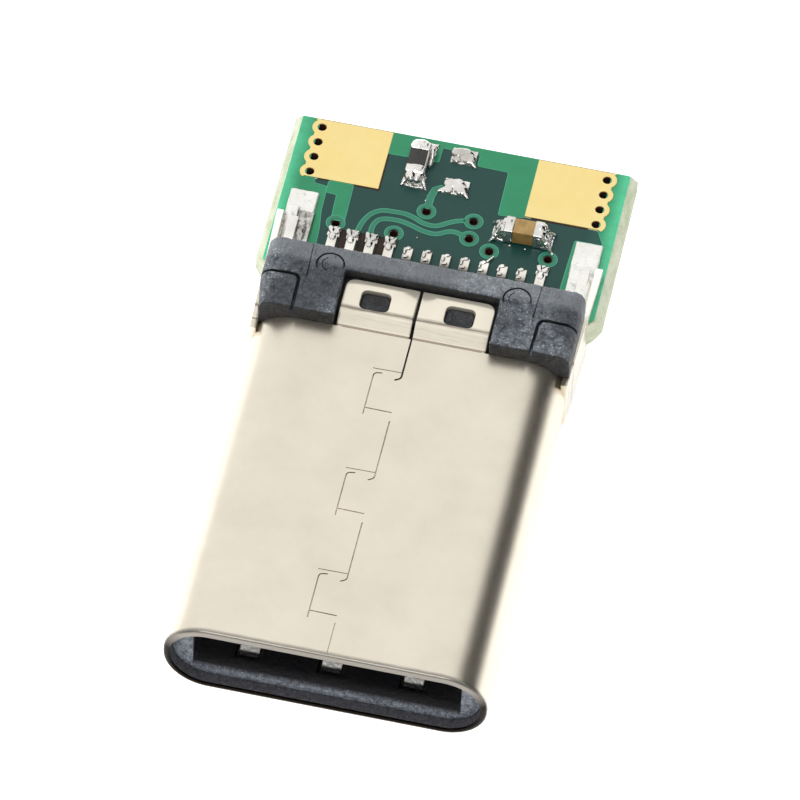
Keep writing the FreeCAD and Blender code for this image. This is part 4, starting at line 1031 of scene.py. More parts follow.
@dataclass
class FoldedShell:
    """One steel sheet folded to an oval tube, with its seam, stepped rear tabs and side arms."""

    width: float = 8.25
    height: float = 2.40
    corner: float = 1.15
    sheet: float = 0.18
    length: float = 10.10
    lip: float = 0.11
    burr: float = 0.07
    gap: float = 0.032
    tight: float = 0.020
    seam_depth: float = 0.14
    seam_right: float = 0.03
    seam_left: float = -0.68
    steps: tuple[Spot, ...] = ((8.97, 7.70), (5.75, 4.46), (2.54, 1.25))
    tab_reach: float = 1.95
    tab_gap: float = 0.075
    tab_rear: float = 11.49
    tab_rise: float = 0.22
    tab_ramp: Spot = (10.10, 10.52)
    ramp_cut: float = 0.02
    ramp_cuts: int = 23
    tab_sink: float = 0.004
    bend_share: float = 0.22
    window: tuple[float, float, float, float] = (0.72, 10.60, 1.48, 11.20)
    arm_half_height: float = 0.80
    arm_front: Spot = (4.15, 9.92)
    arm_rear: Spot = (4.30, 13.80)
    board_half: float = 0.40
    board_front: float = 12.06

    def section(self, inset: float, y: float, burr: float = 0.0) -> list[tuple[float, float, float]]:
        """The oval cross-section at a place along the tube.

        Args:
            inset: How much smaller than the outside it is.
            y: Place along the tube.
            burr: How much lower its top is.

        Returns:
            The points round the section.
        """
        half_x, half_z = self.width / 2 - inset, self.height / 2 - inset
        radius = max(self.corner - inset, 0.05)
        points: Outline = []
        for sx, sz, start in ((1, 1, 0), (-1, 1, 90), (-1, -1, 180), (1, -1, 270)):
            centre = (sx * (half_x - radius), sz * (half_z - radius))
            points += arc(centre, radius, start, start + 90, 20)
        return [(x, y, z - burr * max(0.0, z / half_z) ** 2) for x, z in points]

    def tube(self) -> Mesh:
        """The closed tube with its rounded front lip."""
        rings = [self.section(self.sheet, y) for y in (self.length, 0.16)]
        for inset, y in ((0.0, 0.06), (0.01, 0.015), (0.05, 0.0)):
            rings.append(self.section(self.sheet - inset, y, self.burr))
        for step in range(7):
            angle = math.radians(90 * step / 6)
            rings.append(self.section(self.lip * (1 - math.sin(angle)), self.lip * (1 - math.cos(angle))))
        rings += [self.section(0, y) for y in (0.35, self.length - 0.03)]
        rings.append(self.section(0.02, self.length))
        return loft(rings, closed=True)

    def seam_lines(self) -> list[tuple[Outline, float]]:
        """The interlocking joint of the sheet, stroke by stroke.

        Each tooth has rounded corners in a sharp-cornered notch, which leaves a small hook beside each
        rear corner. Where the teeth press on one another the joint is closed.

        Returns:
            Outlines, each with the depth of its groove.
        """
        left, right = self.seam_left, self.seam_right
        deep, shallow = self.seam_depth * 0.3, self.seam_depth * 0.2
        strokes: list[tuple[Outline, float]] = []
        start, width = self.tab_rear + 0.2, self.gap * 1.5
        for rear, front in self.steps:
            turn = rounded([(right, start), (right, rear - 0.17), (right - 0.14, rear - 0.25)], 0.09, 6, closed=False)
            strokes.append((stroke(turn, width), self.seam_depth if rear == self.steps[0][0] else deep))
            strokes.append((stroke([(left - 0.05, rear), (right - 0.02, rear + 0.01)], self.tight), shallow))
            bent = [(left, front - 0.20), (left, rear - 0.14), (left + 0.20, rear - 0.11)]
            hook = rounded(bent, 0.14, 6, closed=False)
            strokes.append((stroke(hook, self.gap), deep))
            strokes.append((stroke([(left, front), (right - 0.02, front - 0.01)], self.gap), shallow))
            start, width = front - 0.30, self.gap
        strokes.append((stroke([(right, start + 0.06), (right, -0.2)], self.tight), shallow))
        return strokes

    def fold(self, y: float) -> float:
        """Height of a tab's sheet over the tube's, with a tight bend at each end of its slope."""
        t = min(1.0, max(0.0, (y - self.tab_ramp[0]) / (self.tab_ramp[1] - self.tab_ramp[0])))
        bend = self.bend_share
        whole = 1.0 - bend
        if t < bend:
            return self.tab_rise * t * t / (2 * bend) / whole
        if t > 1 - bend:
            return self.tab_rise * (1 - (1 - t) ** 2 / (2 * bend) / whole)
        return self.tab_rise * (t - bend / 2) / whole

    def tab(self, side: int, level: int) -> Mesh:
        """One rear tab: it steps outward behind the tube and has a window.

        Args:
            side: -1 for left, 1 for right.
            level: 1 for the top of the plug, -1 for the underside.

        Returns:
            The mesh, in millimetres.
        """
        inner = side * self.tab_gap / 2
        far = side * self.tab_reach
        front, rear = self.tab_ramp[0] - 0.08, self.tab_rear
        corners = [(inner, front), (far, front), (far, rear), (inner, rear)]
        radii = [0.001, 0.001, 0.30, 0.03]
        points: Outline = []
        for i, corner in enumerate(corners):
            points += rounded([corners[i - 1], corner, corners[(i + 1) % 4]], radii[i], 8, closed=False)[1:-1]
        left, low, right, high = self.window
        hole = rounded([(side * x, y) for x, y in box(left, low, right, high)], 0.17, 6)
        mesh = plate_mesh([points, hole], 0.0, self.sheet, 0.032)
        work = bmesh.new()
        work.from_mesh(mesh)
        for step in range(self.ramp_cuts):
            y = self.tab_ramp[0] - self.ramp_cut / 2 + step * self.ramp_cut
            bmesh.ops.bisect_plane(
                work, geom=work.verts[:] + work.edges[:] + work.faces[:], plane_co=(0, y, 0), plane_no=(0, 1, 0),
            )
        bmesh.ops.triangulate(work, faces=[face for face in work.faces if len(face.verts) > 4])
        base = self.height / 2 - self.sheet
        for vert in work.verts:
            sunk = self.tab_sink if vert.co.y < self.tab_ramp[0] + 0.001 else 0.0
            vert.co.z = level * (vert.co.z + base + self.fold(vert.co.y) - sunk)
        bmesh.ops.recalc_face_normals(work, faces=work.faces)
        work.to_mesh(mesh)
        work.free()
        return mesh

    def arm(self, side: int) -> Mesh:
        """One side arm: a strip on edge whose two prongs straddle the board."""
        half, corner = self.arm_half_height, 0.14
        start, end = self.arm_front[1] - 0.1, self.arm_rear[1]
        outline = [
            (start, -half), *arc((end - corner, -half + corner), corner, -90, 0, 6),
            (end, -self.board_half), (self.board_front, -self.board_half),
            (self.board_front, self.board_half), (end, self.board_half),
            *arc((end - corner, half - corner), corner, 0, 90, 6), (start, half),
        ]
        mesh = plate_mesh([outline], 0.0, self.sheet, 0.02)
        slope = (self.arm_rear[0] - self.arm_front[0]) / (self.arm_rear[1] - self.arm_front[1])
        for vert in mesh.vertices:
            y, z, depth = vert.co.x, vert.co.y, vert.co.z
            outer = self.arm_front[0] + slope * (y - self.arm_front[1])
            vert.co = (side * (outer - depth), y, z)
        return welded(mesh)

    def build(self) -> Piece:
        """Builds and dresses the shell."""
        cutter = grooves(self.seam_lines(), self.height / 2, 0.1)
        meshes = [cut(self.tube(), cutter)]
        meshes += [self.tab(side, level) for side in SIDES for level in (UPPER, LOWER)]
        meshes += [self.arm(side) for side in SIDES]
        piece = seat(joined("folded_shell", meshes, 30), "shell_steel", Finish.SHELL, "shell")
        for finish in (Finish.THROAT, Finish.SEAM):
            piece.data.materials.append(finish_of(finish))
        for face in piece.data.polygons:
            face.material_index = self.shaded(face.center / MM, face.normal)
        piece.modifiers.new("even", "WEIGHTED_NORMAL").keep_sharp = True
        return piece

    def shaded(self, spot: Vector, normal: Vector) -> int:
        """Which finish a face has.

        Args:
            spot: Middle of the face, in millimetres.
            normal: Direction of the face.

        Returns:
            0 outside, 1 inside the tube and in the open end of the seam, 2 in the closed part of the seam.
        """
        if spot.y > self.length - 0.02 or spot.y < 0.1:
            return 0
        if abs(spot.x) < 1.2 and spot.z > 1.03:
            groove = spot.z < self.height / 2 - 0.004
            return (1 if spot.y > self.steps[0][0] - 0.2 else 2) if groove else 0
        core = self.width / 2 - self.corner
        outward = Vector((spot.x - max(-core, min(core, spot.x)), 0, spot.z))
        return int(abs(spot.x) < self.width / 2 - 0.02 and normal.dot(outward) < -0.2)


# Collar


@dataclass
class MouldedCollar:
    """The coarse plastic moulding round the tube's rear end, with its marks and parting lines."""

    node: Piece
    top: float = 1.65
    mark: Spot = (2.44, 11.62)
    mark_radius: float = 0.355
    fill_radius: float = 0.42
    fill_depth: float = 0.12
    arc_start: float = -4.0
    arc_end: float = 204.0
    parting_x: float = 2.99
    parting: Spot = (11.12, 12.2)
    voxel: float = 0.036
    half_width: float = 4.14
    notch: float = 0.84
    tuck: float = 0.85
    block_rear: float = 11.10
    block_short: float = 0.55
    rear_reach: float = 0.17
    ledge: Spot = (11.75, 0.9)
    taper: float = 0.15
    taper_x: float = -3.7
    blend: float = 0.2

    def shaped(self) -> Mesh:
        """The frame's solid with its round marks closed and the whole merged into one even skin.

        Returns:
            The mesh, in millimetres.
        """
        body = self.node.data.copy()
        body.transform(self.node.matrix_world)
        body.transform(Matrix.Scale(1 / MM, 4))
        spots = [(side * self.mark[0], self.mark[1]) for side in SIDES]
        fills = [plate_mesh([circle(spot, self.fill_radius)], self.top - self.fill_depth, self.top) for spot in spots]
        return reskinned(merged([welded(body), *fills], "collar"), self.voxel, 2)

    def trim(self, mesh: Mesh) -> None:
        """Draws in the lower front corners and stretches the upper rear edge, as the real moulding has them."""
        for vert in mesh.vertices:
            x, y, z = vert.co
            low = min(1.0, max(0.0, (-z - 0.05) / 0.5))
            if abs(x) > self.parting_x and y < self.block_rear:
                y += (self.block_rear - y) * self.block_short * low
            if z < -self.notch:
                sink = min(1.0, (-z - self.notch) / (self.top - self.notch))
                share = self.tuck * (1 - math.sqrt(1 - sink * sink)) / (self.half_width - self.parting_x)
                if abs(x) > self.parting_x:
                    x -= math.copysign((abs(x) - self.parting_x) * min(1.0, share), x)
            if x < self.taper_x and y < self.block_rear:
                x += self.taper * (self.block_rear - y) * min(1.0, (self.taper_x - x) / self.blend)
            if y > self.ledge[0] and z > self.ledge[1]:
                y += self.rear_reach * min(1.0, (y - self.ledge[0]) / self.blend)
            vert.co = (x, y, z)

    def lines(self) -> Mesh:
        """The cutter for the ejector marks' arcs, the parting lines and the grooves round the corner blocks."""
        marks = []
        for side in SIDES:
            centre = (side * self.mark[0], self.mark[1])
            x = side * self.parting_x
            marks += [
                (stroke(arc(centre, self.mark_radius, self.arc_start, self.arc_end, 26), 0.05), 0.10),
                (stroke(arc(centre, self.mark_radius * 0.6, 120, 250, 8), 0.03), 0.03),
                (stroke([(x - side * 0.04, self.parting[0]), (x, self.parting[1])], 0.034), 0.06),
            ]
            rim = rounded([(side * 3.86, 11.11), (side * 3.13, 11.12), (side * 3.10, 10.0)], 0.20, 6, closed=False)
            marks += [
                (stroke(rim, 0.09), 0.20),
                (stroke([(side * 4.3, 11.08), (side * 3.80, 11.11)], 0.08), 0.45),
            ]
        return grooves(marks, self.top, 0.2)

    def build(self) -> Piece:
        """Builds and dresses the collar."""
        mesh = self.shaped()
        self.trim(mesh)
        roughen(mesh, ((3.5, 0.010), (9.0, 0.012), (15.0, 0.009)), 4.7)
        mesh = cut(mesh, self.lines())
        piece = seat(settled(mesh, "moulded_collar", 70), "slate_plastic", Finish.COLLAR, "collar")
        LOG.info("built the collar with %d faces", len(mesh.polygons))
        return piece


# Plastic and spring metal carried over from the frame


@dataclass
class CarriedPieces:
    """The nodes whose shape is right as it is: they get softened edges and a finish."""

    nodes: dict[str, Piece]
    soft_plastic: float = 0.03
    soft_metal: float = 0.02

    def dress(self) -> None:
        """Dresses each carried-over node."""
        plan: list[tuple[str, Finish, float]] = [
            ("inner_housing", Finish.HOUSING, self.soft_plastic),
            ("circuit_board", Finish.FIBRE, 0.0),
        ]
        for row in ("upper", "lower"):
            plan.append((f"{row}_wafer", Finish.WAFER, self.soft_plastic))
            plan.append((f"{row}_shield_spring", Finish.SPRING, self.soft_metal))
            for i in CONTACTS:
                # The short pads' contacts have painted shade near the collar.
                finish = Finish.CONTACT if i in LONG_PADS else Finish.SHADED_CONTACT
                plan.append((f"{row}_contact_{i:02d}", finish, self.soft_metal))
        for side in ("left", "right"):
            plan.append((f"{side}_latch", Finish.LATCH, self.soft_metal))
        for name, finish, edge in plan:
            paint(self.nodes[name], finish)
            if edge:
                soften(self.nodes[name], edge)
            LOG.info("dressed %s", name)


# Board


@dataclass
class WiringBoard:
    """The board's lacquer, copper pattern, rings, barrels and gilded pads."""

    half_width: float = 4.57
    lacquer_half_width: float = 4.36
    front: float = 12.08
    rear: float = 17.20
    half_thickness: float = 0.40
    film: float = 0.018
    corner: float = 0.26
    trace_width: float = 0.10
    hole: float = 0.12
    ring: float = 0.235
    vias: tuple[Spot, ...] = (
        (-2.78, 13.90), (-1.24, 13.91), (-0.57, 14.81), (0.69, 14.77), (0.69, 14.19), (1.28, 13.90), (2.81, 14.00),
    )
    pad: tuple[float, float, float, float] = (1.94, 15.24, 4.02, 17.16)
    pad_hole_x: float = 3.80
    scallop: float = 0.26
    pad_holes: tuple[float, ...] = (15.40, 15.90, 16.40, 16.90)
    bare: tuple[float, ...] = (-2.50, -2.00, -1.50)

    def holes(self) -> list[Spot]:
        """The centres of all plated holes."""
        return [*self.vias, *[(side * self.pad_hole_x, y) for side in SIDES for y in self.pad_holes]]

    def lacquer(self, level: int) -> Piece:
        """The lacquer film on one face, open over holes, pads and bare laminate."""
        edge = self.lacquer_half_width
        front, rear = self.front + 0.01, self.rear - 0.01
        corners = [
            (-edge + self.corner, front), (edge - self.corner, front), (edge, front + self.corner), (edge, rear),
            (-edge, rear), (-edge, front + self.corner),
        ]
        outlines = [rounded(corners, 0.04, 2)]
        left, low, right, high = self.pad
        for side in SIDES:
            outlines.append([(side * x, y) for x, y in box(left - 0.03, low - 0.03, right + 0.03, high + 0.02)])
        outlines += [circle(spot, self.hole + 0.005) for spot in self.vias]
        if level == UPPER:
            outlines += [box(x - 0.10, self.front + 0.05, x + 0.10, 13.73) for x in self.bare]
        base = self.half_thickness
        piece = plate(f"lacquer_{'top' if level == UPPER else 'under'}", outlines, base, base + self.film)
        return self.faced(piece, level, "board_green", Finish.MASK)

    def faced(self, piece: Piece, level: int, slot: str, finish: Finish, *nodes: str) -> Piece:
        """Seats a piece drawn for the top face, mirrored if it belongs to the underside."""
        if level == LOWER:
            for vert in piece.data.vertices:
                vert.co.z = -vert.co.z
            piece.data.flip_normals()
        return seat(piece, slot, finish, *nodes)

    def copper_areas(self) -> list[Outline]:
        """The broad copper areas of the top face."""
        edge = self.lacquer_half_width - 0.01
        front, rear = self.front + 0.03, self.rear - 0.03
        left = [
            (-edge, front + self.corner), (-edge + self.corner, front), (-3.10, front), (-3.16, 13.60),
            (-3.24, 14.20), (-3.26, 15.02), (-3.62, 15.06), (-3.62, 15.22), (-3.90, 15.22),
            (-3.90, rear), (-edge, rear),
        ]
        wide = [(-3.24, 15.22), (-3.24, 14.84), (-2.95, 14.82), (-2.92, 14.0), (-2.58, 14.0), (-2.60, 15.22)]
        behind = [
            (-1.93, 16.47), (-0.60, 16.49), (-0.60, 16.98), (0.42, 16.96), (0.42, 16.60), (1.25, 16.58),
            (1.27, 15.14), (1.93, 15.20), (1.93, rear), (-1.93, rear),
        ]
        right = [
            (edge, front + self.corner), (edge, rear), (3.90, rear), (3.90, 15.22), (3.98, 15.05), (4.12, 14.76),
            (3.38, 14.76), (3.34, 13.9), (3.31, 13.0), (3.28, front), (edge - self.corner, front),
        ]
        return [rounded(area, 0.05, 3) for area in (left, wide, behind, right)]

    def traces(self, extra: float) -> list[Outline]:
        """The fine traces of the top face, wider by an extra."""
        first = [
            (-2.25, 13.45), (-2.17, 13.78), (-2.12, 14.10), (-1.96, 14.42), (-1.70, 14.60), (-1.12, 14.62),
            (-0.84, 14.55), (-0.57, 14.40), (-0.23, 14.38), (0.03, 14.56), (0.26, 14.69), (0.50, 14.75),
        ]
        second = [
            (-1.75, 13.45), (-1.83, 13.78), (-1.84, 14.02), (-1.73, 14.26), (-1.55, 14.34), (-1.17, 14.36),
            (-0.86, 14.28), (-0.51, 14.15), (-0.18, 14.12), (0.11, 14.30), (0.30, 14.33), (0.52, 14.25),
        ]
        stub = [(-0.57, 15.00), (-0.56, 15.32), (-0.50, 15.56), (-0.34, 15.66)]
        lines = [stroke(rounded(line, 0.22, 6, closed=False), self.trace_width + extra) for line in (first, second)]
        return [*lines, stroke(stub, 0.16 + extra)]

    def traces_and_rings(self, level: int, grow: float, top: float) -> list[Mesh]:
        """Plates for the fine traces and for the rings round the holes.

        Args:
            level: 1 for the top face, -1 for the underside.
            grow: How far every rim is moved outward.
            top: Height of the lowest plate's top above the lacquer.

        Returns:
            The meshes, in millimetres.
        """
        base = self.half_thickness + self.film
        wires = self.traces(2 * grow) if level == UPPER else self.under_traces(2 * grow)
        meshes = [plate_mesh([wire], base - 0.004, base + top + i * 2e-4) for i, wire in enumerate(wires)]
        for spot in self.vias:
            pair = [circle(spot, self.ring + grow), circle(spot, self.hole + 0.02)]
            meshes.append(plate_mesh(pair, base - 0.004, base + top + 0.003))
        return meshes

    def areas(self, level: int, grow: float, top: float) -> list[Mesh]:
        """Plates for the broad areas. The arguments are those of the traces."""
        base = self.half_thickness + self.film
        outlines = self.copper_areas() if level == UPPER else [self.under_area()]
        return [plate_mesh([o], base - 0.004, base + top + i * 2e-4, 0.0, grow) for i, o in enumerate(outlines)]

    def copper(self, level: int) -> None:
        """The copper pattern under the lacquer of one face, with its paler edges."""
        word = "top" if level == UPPER else "under"
        plan = (
            ("copper_edges", self.areas(level, 0.018, 0.004), Finish.HALO),
            ("copper_areas", self.areas(level, 0.0, 0.006), Finish.TRACE),
            ("trace_edges", self.traces_and_rings(level, 0.020, 0.008), Finish.HALO),
            ("traces", self.traces_and_rings(level, 0.0, 0.011), Finish.FINE),
        )
        for name, meshes, finish in plan:
            self.faced(joined(f"{name}_{word}", meshes), level, "board_green", finish)

    def under_area(self) -> Outline:
        """The broad copper area of the underside."""
        edge = self.lacquer_half_width - 0.01
        front, rear = self.front + 0.03, self.rear - 0.03
        broad = [
            (-edge, front + self.corner), (-edge + self.corner, front), (-3.15, front), (-3.15, 15.05),
            (-1.80, 15.05), (-1.80, 16.3), (1.80, 16.3), (1.80, 15.05), (3.15, 15.05), (3.15, front), (edge - self.corner, front),
            (edge, front + self.corner), (edge, rear), (4.07, rear), (4.07, 15.20), (1.92, 15.20), (1.92, rear),
            (-1.92, rear), (-1.92, 15.20), (-4.07, 15.20), (-4.07, rear), (-edge, rear),
        ]
        return rounded(broad, 0.05, 3)

    def under_traces(self, extra: float) -> list[Outline]:
        """The short traces of the underside, wider by an extra."""
        ends = (((-2.78, 13.9), (-2.25, 13.45)), ((0.69, 14.19), (0.75, 13.45)), ((2.81, 14.0), (2.75, 13.45)))
        return [stroke(pair, self.trace_width + extra) for pair in ends]

    def pad_shadows(self) -> Piece:
        """Bare laminate in the narrow gaps between the lacquer and the gilded pads, painted near-black as shade."""
        base = self.half_thickness
        gaps = [
            box(-3.56, 15.215, -3.24, 15.30), box(-2.60, 15.19, -1.90, 15.30), box(-2.00, 15.18, -1.895, 16.45),
            box(2.12, 15.185, 3.62, 15.30),
        ]
        meshes = [plate_mesh([gap], base - 0.01, base + self.film + 0.003 + i * 2e-4) for i, gap in enumerate(gaps)]
        return seat(joined("pad_shadows", meshes), "board_green", Finish.BARE)

    def barrels(self) -> Piece:
        """The plated barrels inside the holes, painted near-black brown as shade."""
        meshes = []
        top = self.half_thickness + 0.012
        for x, y in self.holes():
            outer, inner = circle((x, y), self.hole - 0.004, 24), circle((x, y), self.hole - 0.016, 24)
            levels = ((outer, -top), (outer, top), (inner, top), (inner, -top))
            meshes.append(loft([[(*spot, z) for spot in ring] for ring, z in levels], closed=True))
        return seat(joined("hole_barrels", meshes), "gilded_copper", Finish.BARREL)

    def bare_strips(self) -> Piece:
        """The bare laminate between the first contacts, painted near-black as shade."""
        base = self.half_thickness
        strips = [box(x - 0.11, self.front + 0.04, x + 0.11, 13.74) for x in self.bare]
        meshes = [plate_mesh([strip], base - 0.01, base + 0.004) for strip in strips]
        return seat(joined("bare_laminate", meshes), "board_green", Finish.BARE)

    def wire_pad(self, side: int, level: int) -> Piece:
        """A gilded wire pad with its scalloped outer edge and its row of holes."""
        left, low, right, high = self.pad
        edge: Outline = [(left, low), (right - 0.12, low)]
        for y in self.pad_holes:
            edge += arc((self.pad_hole_x, y), self.scallop, -52, 52, 8)
        edge += [(right, high), (left, high)]
        outlines = [edge] + [circle((self.pad_hole_x, y), self.hole, 28) for y in self.pad_holes]
        if side < 0:
            outlines = [mirrored(outline) for outline in outlines]
        base = self.half_thickness
        word, end = "left" if side < 0 else "right", "" if level == UPPER else "_below"
        piece = plate(f"{word}_gilded_pad{end}", outlines, base, base + 0.042, 0.008)
        return self.faced(piece, level, "gilded_copper", Finish.GILDED, f"{word}_wire_pad{end}")

    def build(self) -> None:
        """Builds all of the board's surface."""
        for level in (UPPER, LOWER):
            self.lacquer(level)
            self.copper(level)
            for side in SIDES:
                self.wire_pad(side, level)
        self.pad_shadows()
        self.barrels()
        self.bare_strips()
        LOG.info("built the board's lacquer, copper, pads and barrels")


# Chips and solder


@dataclass
class Chip:
    """A chip: a ceramic bar with metal caps, and for a resistor a dark glaze on top."""

    name: str
    centre: Spot
    height: float
    turned: bool
    body_finish: Finish
    slot: str
    glaze: Finish | None = None
    length: float = 1.02
    width: float = 0.52
    cap: float = 0.25
    base: float = 0.43

    def placed(self, mesh: Mesh) -> Mesh:
        """Turns a mesh drawn along Y to the chip's direction and moves it to its place."""
        turn = Matrix.Rotation(math.radians(-90 if self.turned else 0), 4, "Z")
        mesh.transform(Matrix.Translation((*self.centre, 0)) @ turn)
        return mesh

    def bar(self, start: float, end: float, inset: float, edge: float) -> Mesh:
        """A bar along Y with rounded long edges.

        Args:
            start: First end along the chip.
            end: Last end along the chip.
            inset: How far the sides lie inside the chip's own.
            edge: Radius of the long edges.

        Returns:
            The mesh, in millimetres.
        """
        half = self.width / 2 - inset
        low, high = self.base + inset, self.base + self.height - inset
        section = rounded(box(-half, low, half, high), edge, 4)
        rings = []
        for y, shrink in ((start, 0.02), (start + 0.02, 0.0), (end - 0.02, 0.0), (end, 0.02)):
            middle = (low + high) / 2
            scale_x, scale_z = 1 - shrink / half, 1 - 2 * shrink / (high - low)
            rings.append([(x * scale_x, y, middle + (z - middle) * scale_z) for x, z in section])
        return loft(rings, closed=False)

    def build(self) -> None:
        """Builds the body, its glaze and the caps."""
        half = self.length / 2
        body = joined(f"{self.name}_body", [self.placed(self.bar(-half + 0.1, half - 0.1, 0.02, 0.03))])
        seat(body, self.slot, self.body_finish, f"chip_{self.name}")
        if self.glaze:
            inner, reach, top = self.width / 2 - 0.045, half - self.cap + 0.02, self.base + self.height
            outline = rounded(box(-inner - 0.04, -reach, inner, reach), 0.02, 3)
            film = plate_mesh([outline], top - 0.06, top - 0.004, 0.008)
            seat(joined(f"{self.name}_glaze", [self.placed(film)]), self.slot, self.glaze)
        ends = [self.bar(-half, -half + self.cap, 0.0, 0.05), self.bar(half - self.cap, half, 0.0, 0.05)]
        seat(joined(f"{self.name}_caps", [self.placed(mesh) for mesh in ends]), "solder", Finish.SOLDER)
        LOG.info("built %s", self.name)


@dataclass
class SolderJoints:
    """All the solder on the board."""

    base: float = 0.40
    pitch: float = 0.50
    first_x: float = -2.75
    beads: tuple[tuple[float, float, float], ...] = (
        (-0.62, 13.90, 0.022), (-0.66, 15.14, 0.030), (1.79, 15.91, 0.014), (1.76, 14.20, 0.035),
        (2.17, 14.18, 0.030),
    )

    def piece(
        self, name: str, meshes: list[Mesh], *nodes: str, finish: Finish = Finish.SOLDER,
    ) -> Piece:
        """Joins, seats and paints solder meshes."""
        made = seat(joined(name, meshes, 75), "solder", finish, *nodes)
        LOG.info("built %s with %d faces", name, len(made.data.polygons))
        return made

    def tails(self, level: int) -> Piece:
        """The solder round the tails of one row: a long bead, and a broad blob on the long pads."""
        meshes = []
        for index in CONTACTS:
            x = self.first_x + (index - 1) * self.pitch
            seed = index * 3.1 + level
            lean = 0.025 * math.sin(seed * 2.3)
            melt = Melt(0.015, 2, 0.012, seed)
            melt.slab((x - 0.10, 12.62, x + 0.10, 13.30), level * 0.42, 0.02)
            for side in SIDES:
                melt.ball((x + side * 0.085, 12.98, level * 0.44), (0.055, 0.30, 0.09))
            if index in LONG_PADS:
                melt.slab((x - 0.175, 13.42, x + 0.175, 13.76), level * 0.44, 0.04, 0.94)
                melt.slab((x - 0.12, 13.20, x + 0.12, 13.50), level * 0.44, 0.04, 0.94)
                melt.ball((x - 0.085 + lean, 13.62, level * 0.47), (0.09, 0.15, 0.10), 24)
                melt.ball((x + 0.09 + lean, 13.60, level * 0.47), (0.085, 0.15, 0.09), -28)
                melt.ball((x + lean, 13.36, level * 0.51), (0.105, 0.15, 0.095), 10)
            else:
                melt.slab((x - 0.12, 13.30, x + 0.12, 13.48), level * 0.44, 0.04, 0.94)
                melt.ball((x + lean, 13.43, level * 0.48), (0.12, 0.075, 0.115), 12)
                melt.ball((x - 0.075 + lean, 13.29, level * 0.52), (0.05, 0.10, 0.085), -10)
                melt.ball((x - 0.02 + lean, 13.14, level * 0.52), (0.09, 0.05, 0.08), 15)
            meshes.append(melt.mesh(level * self.base))
        row = "upper" if level == UPPER else "lower"
        return self.piece(f"{row}_tail_fillets", meshes, f"{row}_tail_solder")

    def legs(self, side: int) -> Piece:
        """The broad dull solder where a latch leg lies on the board, above and below."""
        meshes = []
        for level in (UPPER, LOWER):
            melt = Melt(0.024, 4, 0.010, side * 5.0 + level)
            if side < 0:
                melt.slab((-4.14, 14.02, -3.38, 14.72), level * 0.46, 0.06, 0.97)
                melt.slab((-4.12, 13.55, -3.78, 14.12), level * 0.50, 0.10, 0.95)
                melt.slab((-4.06, 12.30, -3.74, 13.75), level * 0.50, 0.10, 0.95)
                melt.ball((-3.92, 13.40, level * 0.60), (0.13, 0.50, 0.07), 6)
            else:
                melt.slab((3.42, 13.60, 4.14, 14.72), level * 0.46, 0.06, 0.97)
                melt.slab((3.44, 12.35, 4.12, 13.90), level * 0.48, 0.08, 0.95)
                melt.ball((3.74, 13.50, level * 0.53), (0.26, 0.34, 0.06), 10)
                melt.ball((3.92, 12.95, level * 0.58), (0.20, 0.60, 0.09))
                melt.ball((4.10, 13.68, level * 0.60), (0.07, 0.12, 0.12))
            meshes.append(melt.mesh(level * self.base))
        word = "left" if side < 0 else "right"
        return self.piece(f"{word}_leg_fillets", meshes, f"{word}_leg_solder", finish=Finish.DULL_SOLDER)

    def grains(self) -> Piece:
        """The rough, half-melted solder beside the left leg, above and below, its dark colour partly painted shade.
        """
        meshes = []
        for level in (UPPER, LOWER):
            melt = Melt(0.018, 1, 0.024, 9.0 + level)
            melt.slab((-3.80, 12.40, -3.34, 14.08), level * 0.47, 0.07, 0.9)
            melt.ball((-3.60, 13.45, level * 0.52), (0.14, 0.60, 0.07), 5)
            melt.slab((-4.16, 12.40, -4.04, 13.86), level * 0.50, 0.10, 0.95)
            meshes.append(melt.mesh(level * self.base))
        return self.piece("left_rough_solder", meshes, finish=Finish.GRAINY_SOLDER)

    def resistor_ends(self) -> Piece:
        """The two solder fillets of the chip that lies along the board."""
        x, y = RESISTOR_SPOT
        front = Melt(0.015, 2, 0.022, 11.0)
        front.block((x - 0.29, y - 0.78, 0.39), (x + 0.34, y - 0.34, 0.47), 0.9)
        front.ball((x - 0.10, y - 0.52, 0.62), (0.15, 0.24, 0.17), 18)
        front.ball((x + 0.13, y - 0.50, 0.60), (0.14, 0.24, 0.16), -16)
        front.ball((x + 0.01, y - 0.35, 0.72), (0.26, 0.13, 0.10))
        front.spine((x + 0.18, y - 0.48, 0.62), (x + 0.36, y - 0.77, 0.44), 0.10, 0.04)
        front.spine((x - 0.14, y - 0.48, 0.60), (x - 0.28, y - 0.74, 0.44), 0.11, 0.05)
        rear = Melt(0.015, 3, 0.018, -11.0)
        rear.block((x - 0.30, y + 0.34, 0.39), (x + 0.42, y + 0.80, 0.46), 0.92)
        rear.ball((x - 0.02, y + 0.44, 0.66), (0.29, 0.20, 0.17))
        rear.ball((x + 0.31, y + 0.36, 0.55), (0.11, 0.20, 0.18), 10)
        rear.ball((x + 0.33, y + 0.10, 0.48), (0.07, 0.18, 0.14), -8)
        rear.ball((x + 0.30, y + 0.50, 0.62), (0.14, 0.10, 0.10))
        meshes = [front.mesh(self.base), rear.mesh(self.base)]
        return self.piece("resistor_fillets", meshes, "resistor_solder")

